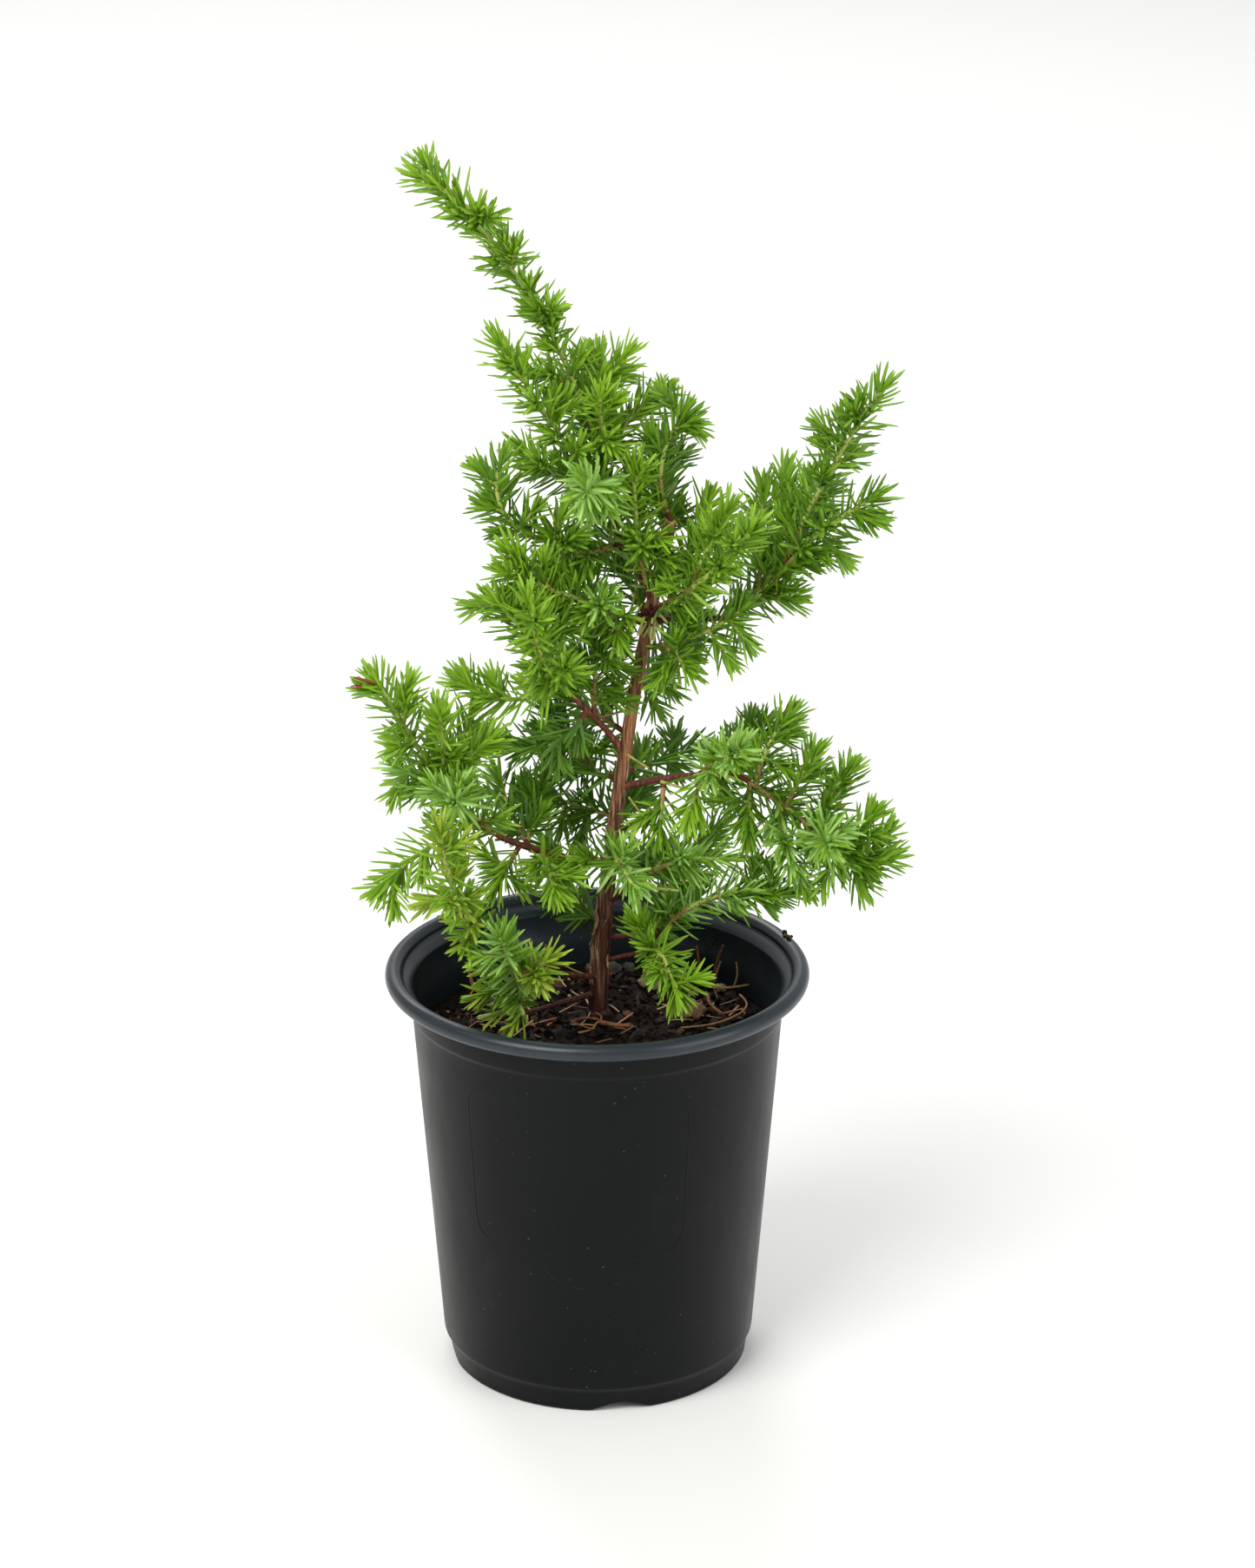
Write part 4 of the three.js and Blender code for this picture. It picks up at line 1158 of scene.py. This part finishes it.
def pot_outline():
    """From the middle of the underside round the outside, over the lip and down the inside."""
    lip_radius, lip_foot = LIP_THICKNESS / 2, POT_HEIGHT - LIP_THICKNESS
    collar = WALL_TOP_RADIUS + COLLAR_STEP
    inner_collar, wall_foot = collar - WALL_THICKNESS, FOOT_HEIGHT + 0.9 * MM
    outside = [(radius, 0.0) for radius in np.linspace(8 * MM, FOOT_RADIUS - 2.4 * MM, 10)]
    outside += arc((FOOT_RADIUS - 1.4 * MM, 1.4 * MM), 1.4 * MM, -1.3, 0.1, 6)
    foot_slope = [(share * 1.3, share * 7.2) for share in np.linspace(0.1, 1, 5)]
    outside += offsets(FOOT_RADIUS, 2.2 * MM, *foot_slope)
    outside += offsets(WALL_FOOT_RADIUS, FOOT_HEIGHT, (-0.55, -0.7), (-0.1, 0.1), (0, 0.9))
    up = np.linspace(0.05, 0.995, 22)
    outside += zip(lerp(WALL_FOOT_RADIUS, WALL_TOP_RADIUS, up), lerp(wall_foot, COLLAR_FOOT, up))
    outside += offsets(WALL_TOP_RADIUS, COLLAR_FOOT, (0.15, 0.3))
    outside += offsets(collar, COLLAR_FOOT, (-0.1, 1.1), (0, 1.7))
    outside += offsets(collar, lip_foot, (0.2, -4), (0.4, -1.4), (0.7, -0.5))
    lip = arc((LIP_OUTER_RADIUS - lip_radius, POT_HEIGHT - lip_radius), lip_radius, -2.2, 3.3, 26)
    inside = offsets(collar, POT_HEIGHT, (1.9, -4.4), (0.4, -5.4))
    inside += offsets(inner_collar, lip_foot, (0.2, -0.4), (0, -1.4))
    inside += offsets(inner_collar, COLLAR_FOOT, (0, 1.4))
    inside += offsets(WALL_TOP_RADIUS - WALL_THICKNESS, COLLAR_FOOT, (0, -0.4))
    down = np.linspace(0.05, 1, 12)
    inner_wall = lerp(WALL_TOP_RADIUS, WALL_FOOT_RADIUS, down) - WALL_THICKNESS
    inside += zip(inner_wall, lerp(COLLAR_FOOT, FOOT_HEIGHT, down))
    inside += [(radius, FLOOR_THICKNESS) for radius in np.linspace(FOOT_RADIUS - WALL_THICKNESS, 8 * MM, 4)]
    return np.array(outside + lip + inside), np.repeat((0, 1, 2), (len(outside), len(lip), len(inside)))


def notch_rise(angle):
    """How far the foot's edge is raised at each bearing by the drain notches."""
    spacing = 360 / NOTCH_COUNT
    away = (np.degrees(angle) - NOTCH_BEARING + spacing / 2) % spacing - spacing / 2
    share = np.clip(np.abs(away) / NOTCH_HALF_ANGLE, 0, 1)
    return NOTCH_HEIGHT * np.cos(share * math.pi / 2) ** 1.5


def make_pot():
    outline, looks = pot_outline()
    radius, height = outline[:, :1], outline[:, 1:]
    near_edge = np.clip((radius - (FOOT_RADIUS - NOTCH_DEPTH)) / (4 * MM), 0, 1)
    reach = np.clip(1 - height / (FOOT_HEIGHT - 1 * MM), 0, 1)
    outside = looks[:, None] == 0
    height = height + np.where(outside, near_edge * reach * notch_rise(ROUND_THE_POT), 0)
    points = ring_points(radius, ROUND_THE_POT, height)
    pile = Pile()
    face_looks = [np.repeat(looks[:-1], POT_SEGMENTS), np.zeros(2, int)]
    pile.add(points.reshape(-1, 3), ring_faces(len(outline), POT_SEGMENTS), face_looks)
    add_panel_line(pile)
    add_scratches(pile)
    # The lip and the inside are the same black plastic as the outer wall. Their lighter blue-grey colours are
    # a painted sheen: painted reflection on the glossy lip and painted light on the inner wall.
    looks = [
        pot_look("pot_plastic", "07090a", "0c0e0f", 0.36, 0.14),
        pot_look("lip_plastic_painted_sheen", "171f25", "232c33", 0.3, 0.42),
        pot_look("inner_plastic_painted_sheen", "161d22", "212b31", 0.3, 0.5),
        plain_material("pot_scratch", "1e2223", 0.6, 0.2),
    ]
    pile.finish("nursery_pot", looks, "pot", ["pot"])


def wall_line(bearing, height, steps):
    """Points on the outer wall, and the way out of it there, at steps along a line of corners."""
    corners = np.arange(len(bearing))
    bearing, height = np.interp(steps, corners, bearing), np.interp(steps, corners, height)
    centre = ring_points(wall_radius_at(height), bearing, height)
    return centre, unit(centre * (1, 1, 0))


def add_panel_line(pile):
    """The thin raised line, a rectangle with round corners, on the front of the wall."""
    turn = PANEL_CORNER / WALL_TOP_RADIUS
    half_angle, quarter = math.radians(PANEL_HALF_ANGLE) - turn, np.linspace(0, math.pi / 2, 9)
    bearing, height = [], []
    for corner, (side, top) in enumerate(((1, 1), (-1, 1), (-1, -1), (1, -1))):
        angles = quarter + corner * math.pi / 2
        bearing.extend(math.radians(PANEL_BEARING) + side * half_angle + turn * np.cos(angles))
        height.extend((PANEL_HIGH if top > 0 else PANEL_LOW) + PANEL_CORNER * (np.sin(angles) - top))
    steps = np.arange(6 * len(bearing)) / 6
    centre, out = wall_line(bearing + bearing[:1], height + height[:1], steps)
    side = np.cross(unit(np.roll(centre, -1, 0) - centre + 1e-12), out)
    add_ribbon(pile, centre, side * 0.25 * MM, out * 0.05 * MM, 0, closed=True)


def add_scratches(pile):
    """Thin pale scuffs on the front of the wall."""
    half_widths = 0.14 * MM * np.sin(np.linspace(0.2, 2.9, 12))
    for scratch in SCRATCHES:
        bearing, height = np.array(scratch).T
        centre, out = wall_line(np.radians(bearing), height * MM, np.linspace(0, len(scratch) - 1, 12))
        side = np.cross(unit(np.gradient(centre, axis=0)), out)
        add_ribbon(pile, centre, side * half_widths[:, None], out * 0.04 * MM, 3)


# Soil and what lies on it


def soil_grids(rng):
    """Each size of bump on the soil: its cell, its weight and its random numbers."""
    return [(cell * MM, weight, rng.uniform(-1, 1, (BUMP_CELLS, BUMP_CELLS))) for cell, weight in SOIL_BUMPS]


def surface(x, y):
    """The soil's height, with bumps that fade out at the pot's wall."""
    radius = np.hypot(x, y)
    calm = np.clip((inner_radius_at(SOIL_EDGE_HEIGHT) - radius) / (3 * MM), 0, 1)
    x, y = x + GRID_CORNER, y + GRID_CORNER
    bumps = sum(weight * between_cells(grid, x / cell, y / cell) for cell, weight, grid in grids)
    return soil_height_at(radius) - 1.2 * MM + BUMP_HEIGHT * calm * bumps


def make_soil():
    edge = inner_radius_at(SOIL_EDGE_HEIGHT) - GAP
    radii = np.linspace(0, edge, SOIL_RINGS + 1)[1:, None]
    x, y = radii * np.cos(ROUND_THE_POT), radii * np.sin(ROUND_THE_POT)
    top = np.stack((x, y, surface(x, y)), -1)
    low_edge = ring_points(edge, ROUND_THE_POT, SOIL_EDGE_HEIGHT - 4 * MM)
    bottom = ring_points(FOOT_RADIUS - WALL_THICKNESS - GAP * 2, ROUND_THE_POT, FLOOR_THICKNESS + GAP)
    pile = Pile()
    points = np.concatenate((top, low_edge[None], bottom[None])).reshape(-1, 3)
    pile.add(points, ring_faces(SOIL_RINGS + 2, POT_SEGMENTS))
    pile.finish("potting_mix", [soil_look()], "soil", ["soil"])


def lump(rng, size, detail=1):
    """A rounded, uneven lump: an icosphere with its points pushed in and out."""
    mesh = bmesh.new()
    bmesh.ops.create_icosphere(mesh, subdivisions=detail, radius=1)
    points = np.array([v.co for v in mesh.verts])
    faces = np.array([[v.index for v in face.verts] for face in mesh.faces])
    mesh.free()
    points = points * rng.uniform(0.75, 1.2, (len(points), 1)) * size
    return points, faces


def spun(points, rng):
    """The points turned at random about the middle."""
    turn = Quaternion(rng.normal(size=4)).normalized()
    return points @ np.array(turn.to_matrix()).T


def crumb(rng, size):
    points, faces = lump(rng, size * MM * rng.uniform(0.7, 1.2, 3))
    return spun(points, rng), faces


def on_soil(rng, reach=START_REACH):
    """A random place on the soil, clear of the trunk's foot."""
    while True:
        x, y = rng.uniform(-reach, reach, 2)
        if math.hypot(x, y) < reach and math.hypot(x - TRUNK_FOOT[0], y - TRUNK_FOOT[1]) > 6 * MM:
            return x, y


def lay_lump(pile, points, faces, x, y, lift, look):
    """Put a lump on the soil, its middle lifted above the surface."""
    pile.add(points + (x, y, surface(x, y) + lift), [faces], look)


def make_crumbs(rng):
    pile = Pile()
    for _ in range(CRUMB_COUNT):
        x, y = on_soil(rng)
        size = rng.uniform(0.5, 1.3) if rng.random() < 0.85 else rng.uniform(1.3, 2.4)
        points, faces = crumb(rng, size)
        look = rng.choice(4, p=(0.5, 0.3, 0.15, 0.05))
        lay_lump(pile, points, faces, x, y, size * 0.3 * MM, look)
    looks = plain_materials(
        ("crumb_black", "0c0805", 0.75, 0.12),
        ("crumb_dark", "1a1109", 0.8, 0.12),
        ("crumb_brown", "2e2014", 0.85, 0.12),
        ("crumb_tan", "55422c", 0.85, 0.15),
    )
    pile.finish("soil_crumbs", looks, "soil", smooth=False)


def make_chips(rng):
    """Flat pieces of composted bark."""
    pile = Pile()
    for _ in range(CHIP_COUNT):
        x, y = on_soil(rng)
        size = np.array((rng.uniform(2, 5.5), rng.uniform(1, 2.6), rng.uniform(0.35, 0.8))) * MM
        points, faces = lump(rng, size)
        tilt = rng.normal(0, 0.35, 2)
        turn = Matrix.Rotation(rng.uniform(0, 2 * math.pi), 3, "Z")
        points = points @ np.array(turn).T
        points[:, 2] += points[:, :2] @ tilt
        lay_lump(pile, points, faces, x, y, 0.6 * MM, rng.choice(3, p=(0.5, 0.35, 0.15)))
    looks = stone_looks(
        ("chip_dark", "0e0906", "1c130d"),
        ("chip_brown", "20150e", "3a2719"),
        ("chip_red", "3a2016", "5e3a28"),
    )
    pile.finish("bark_chips", looks, "soil", smooth=False)


def make_fibres(rng):
    """Thin bent threads that lie on the soil or rise from it."""
    pile, count = Pile(), 14
    for _ in range(FIBRE_COUNT):
        foot = on_soil(rng, 60 * MM)
        length, bearing = rng.uniform(8, 26) * MM, rng.uniform(0, 360)
        curl, rise = rng.uniform(-3, 3), rng.uniform(0, 3) * MM
        turn = np.radians(bearing) + np.cumsum(rng.normal(curl / count, 0.12, count))
        x = foot[0] + np.cumsum(np.cos(turn)) * length / count
        y = foot[1] + np.cumsum(np.sin(turn)) * length / count
        if np.hypot(x, y).max() > END_REACH:
            continue
        height = surface(x, y) + 0.9 * MM + rise * np.sin(np.linspace(0, math.pi, count))
        radii = np.full(count, rng.uniform(0.13, 0.28) * MM)
        add_tube(pile, np.stack((x, y, height), 1), radii, 5, rng.choice(3))
    looks = plain_materials(
        ("fibre_brown", "5a3824", 0.7, 0.3),
        ("fibre_tan", "8d6542", 0.7, 0.3),
        ("fibre_dark", "2e1d14", 0.7, 0.3),
    )
    pile.finish("fibres", looks, "soil")


def make_dead_needles(rng):
    """Fallen needles, thickest at the left, the front and the right."""
    pile = Pile()
    for x, y, count, spread in NEEDLE_LITTER:
        foot = np.stack((rng.normal(x, spread, count), rng.normal(y, spread, count)), 1) * MM
        foot = foot[np.hypot(*foot.T) < START_REACH - 4 * MM]
        count = len(foot)
        aim = heading(rng.uniform(0, 360, count), rng.normal(4, 10, count))
        length = NEEDLE_LENGTH * rng.uniform(0.7, 1.05, count)
        middle = foot + aim[:, :2] * length[:, None] / 2
        height = surface(*middle.T) + rng.uniform(0.8, 2.4, count) * MM - aim[:, 2] * length / 2
        foot = np.column_stack((foot, height))
        end = foot + aim * length[:, None]
        kept = np.hypot(*end[:, :2].T) < END_REACH - 1 * MM
        foot, aim, length = foot[kept], aim[kept], length[kept]
        count = len(foot)
        up = unit((0, 0, 1) - aim * aim[:, 2:])
        width, bend = NEEDLE_WIDTH * rng.uniform(0.55, 0.85, count), rng.normal(0, 0.12, count)
        body = rng.integers(0, 3, count)
        add_needles(pile, foot, aim, up, length, width, bend, body, body)
    looks = plain_materials(
        ("dead_needle_brown", "6d4128", 0.6, 0.35),
        ("dead_needle_orange", "a5683a", 0.6, 0.35),
        ("dead_needle_straw", "b08a58", 0.6, 0.35),
    )
    pile.finish("fallen_needles", looks, "soil")


def make_straws(name, straws, slot):
    pile, share = Pile(), np.linspace(0, 1, 14)
    for start, end, bow, radius, look in straws:
        start, end = np.array(start) * MM, np.array(end) * MM
        aside = unit(np.cross(end - start, (0, 0, 1.0)))
        path = start + (end - start) * share[:, None] + aside * (bow * MM * np.sin(share * math.pi))[:, None]
        add_tube(pile, path, radius * MM * (1 - 0.35 * share), 6, look)
    looks = stone_looks(
        (f"{name}_red", "6e3f28", "a06a48"),
        (f"{name}_tan", "7b5a38", "b48e60"),
        (f"{name}_pale", "a08a68", "d0bc96"),
        (f"{name}_green", "8a8f3c", "b9bd62"),
    )
    pile.finish(name, looks, slot)


def make_stones(rng):
    pile = Pile()
    for x, y, wide, deep, tall, look in STONES:
        points, faces = lump(rng, np.array((wide, deep, tall)) / 2 * MM, 3)
        lay_lump(pile, points * 0.97, faces, x * MM, y * MM, tall * 0.32 * MM, look)
    for _ in range(PEARL_COUNT):
        x, y = on_soil(rng)
        size = rng.uniform(0.4, 1.1)
        points, faces = lump(rng, size * MM)
        lay_lump(pile, points, faces, x, y, size * 0.5 * MM, 0)
    looks = stone_looks(
        ("stone_pale", "8d7a5e", "c2ae8a"),
        ("stone_tan", "6d4f38", "a98a68"),
        ("stone_grey", "37332f", "5d5850"),
    )
    pile.finish("stones", looks, "soil")


def make_rim_crumbs(rng):
    """A few crumbs of mix caught on the lip at the right."""
    pile = Pile()
    for _ in range(RIM_CRUMB_COUNT):
        bearing = math.radians(RIM_CRUMB_BEARING + rng.normal(0, 1.6))
        reach = LIP_OUTER_RADIUS - LIP_THICKNESS / 2 + rng.normal(0.4, 0.7) * MM
        size = rng.uniform(0.5, 1.3)
        points, faces = crumb(rng, size)
        place = ring_points(reach, bearing, POT_HEIGHT + size * 0.3 * MM)
        pile.add(points + place, [faces], rng.integers(2))
    looks = plain_materials(("rim_crumb_dark", "241a13", 0.8, 0.25), ("rim_crumb_tan", "6a5540", 0.85, 0.25))
    pile.finish("rim_crumbs", looks, "soil", smooth=False)


def make_stick():
    """The bare stick that leans in the soil at the right, and the root that loops out by the trunk."""
    pile = Pile()
    path = smooth_path(np.array(STICK) * MM, 16)
    add_tube(pile, path, np.linspace(0.8, 0.5, 16) * MM, 9)
    angle = np.linspace(-0.3, 3.4, 20)
    loop = np.stack((-4 + 7 * np.cos(angle), -1 + 2.5 * np.sin(angle), 138 + 2.6 * np.sin(angle)), 1) * MM
    add_tube(pile, loop, np.full(20, 0.55 * MM), 8, 1)
    looks = stone_looks(("stick_wood", "3a2519", "75503a"), ("root_skin", "5c3624", "94623f"))
    pile.finish("stick_and_root", looks, "soil")


# Small dead parts


def make_bud_scales(rng):
    """Dead bud scales and hanging pale needles where the shoots leave the trunk's top."""
    pile = Pile()
    middle = point_along(limbs["trunk"]["path"], SCALES_AT) + np.array((-0.5, -3.6, 1.5)) * MM

    def add_bunch(foot, aim, faced, length, width, bend, look):
        count, aim = len(foot), unit(aim)
        up = needle_ups(aim, np.broadcast_to(faced, aim.shape))
        add_needles(pile, foot, aim, up, length, np.full(count, width), np.full(count, bend), look, look)

    foot = middle + rng.normal(0, 1.2, (60, 3)) * (1.5, 0.8, 0.8) * MM
    aim = rng.normal(0, 1, (60, 3)) + (0, -1.1, 0.3)
    add_bunch(foot, aim, (0.1, 0.2, 0.97), rng.uniform(2.4, 5.2, 60) * MM, 1.3 * MM, 0.2, np.zeros(60, int))
    foot = middle + rng.normal(0, 1.6, (12, 3)) * MM
    aim = rng.normal(0, 0.5, (12, 3)) + (0, -0.55, -1.0)
    length = rng.uniform(6, 11, 12) * MM
    add_bunch(foot, aim, (0.1, -1, 0.1), length, 1.1 * MM, 0.08, rng.integers(1, 3, 12))
    looks = plain_materials(
        ("scale_brown", "5e2f22", 0.6, 0.3),
        ("straw", "c9b878", 0.55, 0.35),
        ("straw_green", "b4c070", 0.55, 0.35),
    )
    pile.finish("dead_scales", looks, "bark")


# Surroundings

FLOOR_REACH = 6.0
LIGHT_TARGET = np.array((0, 0, 0.25))
# Each light: its name, place, size, power and colour.
LIGHTS = (
    ("key", (-1.6, -2.0, 3.0), 2.2, 102, (1.0, 0.985, 0.96)),
    ("fill", (2.6, -1.6, 1.6), 2.2, 42, (0.97, 0.985, 1.0)),
    ("back", (-0.6, 2.6, 2.8), 2.0, 50, (1.0, 1.0, 1.0)),
)
SKY_STRENGTH = 0.55
# The photograph's own camera, fitted to the pot's lip and foot.
CAMERA_PLACE = (0.01174, -1.5757, 0.8251)
CAMERA_TILT = 20.41
CAMERA_LENS = 100.8
CAMERA_SENSOR = 36


def make_stage():
    mesh = bpy.data.meshes.new("floor")
    corners = [(x * FLOOR_REACH, y * FLOOR_REACH, 0) for x, y in ((-1, -1), (1, -1), (1, 1), (-1, 1))]
    mesh.from_pydata(corners, [], [(0, 1, 2, 3)])
    mesh.materials.append(plain_material("floor_pale", "f4f4f2", 0.7, 0.2))
    floor = link_object("floor", mesh)


def add_light(name, place, size, power, colour):
    light = bpy.data.lights.new(name, "AREA")
    light.size = size
    light.energy = power
    light.color = colour
    lamp = link_object(name, light)
    away = unit(np.array(place) - LIGHT_TARGET)
    lamp.location = place
    lamp.rotation_euler = (math.acos(away[2]), 0, math.atan2(away[0], -away[1]))


def light_studio():
    for light in LIGHTS:
        add_light(*light)
    world = bpy.data.worlds.new("studio")
    world.use_nodes = True
    background = world.node_tree.nodes["Background"]
    background.inputs["Color"].default_value = (1.0, 1.0, 1.0, 1.0)
    background.inputs["Strength"].default_value = SKY_STRENGTH
    bpy.context.scene.world = world
    bpy.context.scene.view_settings.view_transform = "Standard"


def place_camera():
    camera = bpy.data.cameras.new("camera")
    camera.lens = CAMERA_LENS
    camera.sensor_width = CAMERA_SENSOR
    body = link_object("camera", camera)
    body.location = CAMERA_PLACE
    body.rotation_euler = (math.radians(90 - CAMERA_TILT), 0, 0)
    bpy.context.scene.camera = body


rng = np.random.default_rng(SEED)
limbs = grow_limbs()
lines = [line for name, mass in MASSES.items() for line in grow_lines(name, mass)]
draw = seeded_numbers(SEED)
for line in list(lines):
    grow_side_twigs(line, draw)
for line in list(lines):
    grow_tufts(line, draw)
grow_fine_shoots()

make_masses(rng)
make_trunk(rng)
make_boughs(rng)
make_bud_scales(rng)
make_pot()
grids = soil_grids(rng)
make_soil()
make_crumbs(rng)
make_chips(rng)
make_fibres(rng)
make_dead_needles(rng)
make_stones(rng)
make_stick()
make_rim_crumbs(rng)
make_straws("soil_straws", SOIL_STRAWS, "soil")
make_straws("crown_straws", CROWN_STRAWS, "bark")
make_stage()
light_studio()
place_camera()
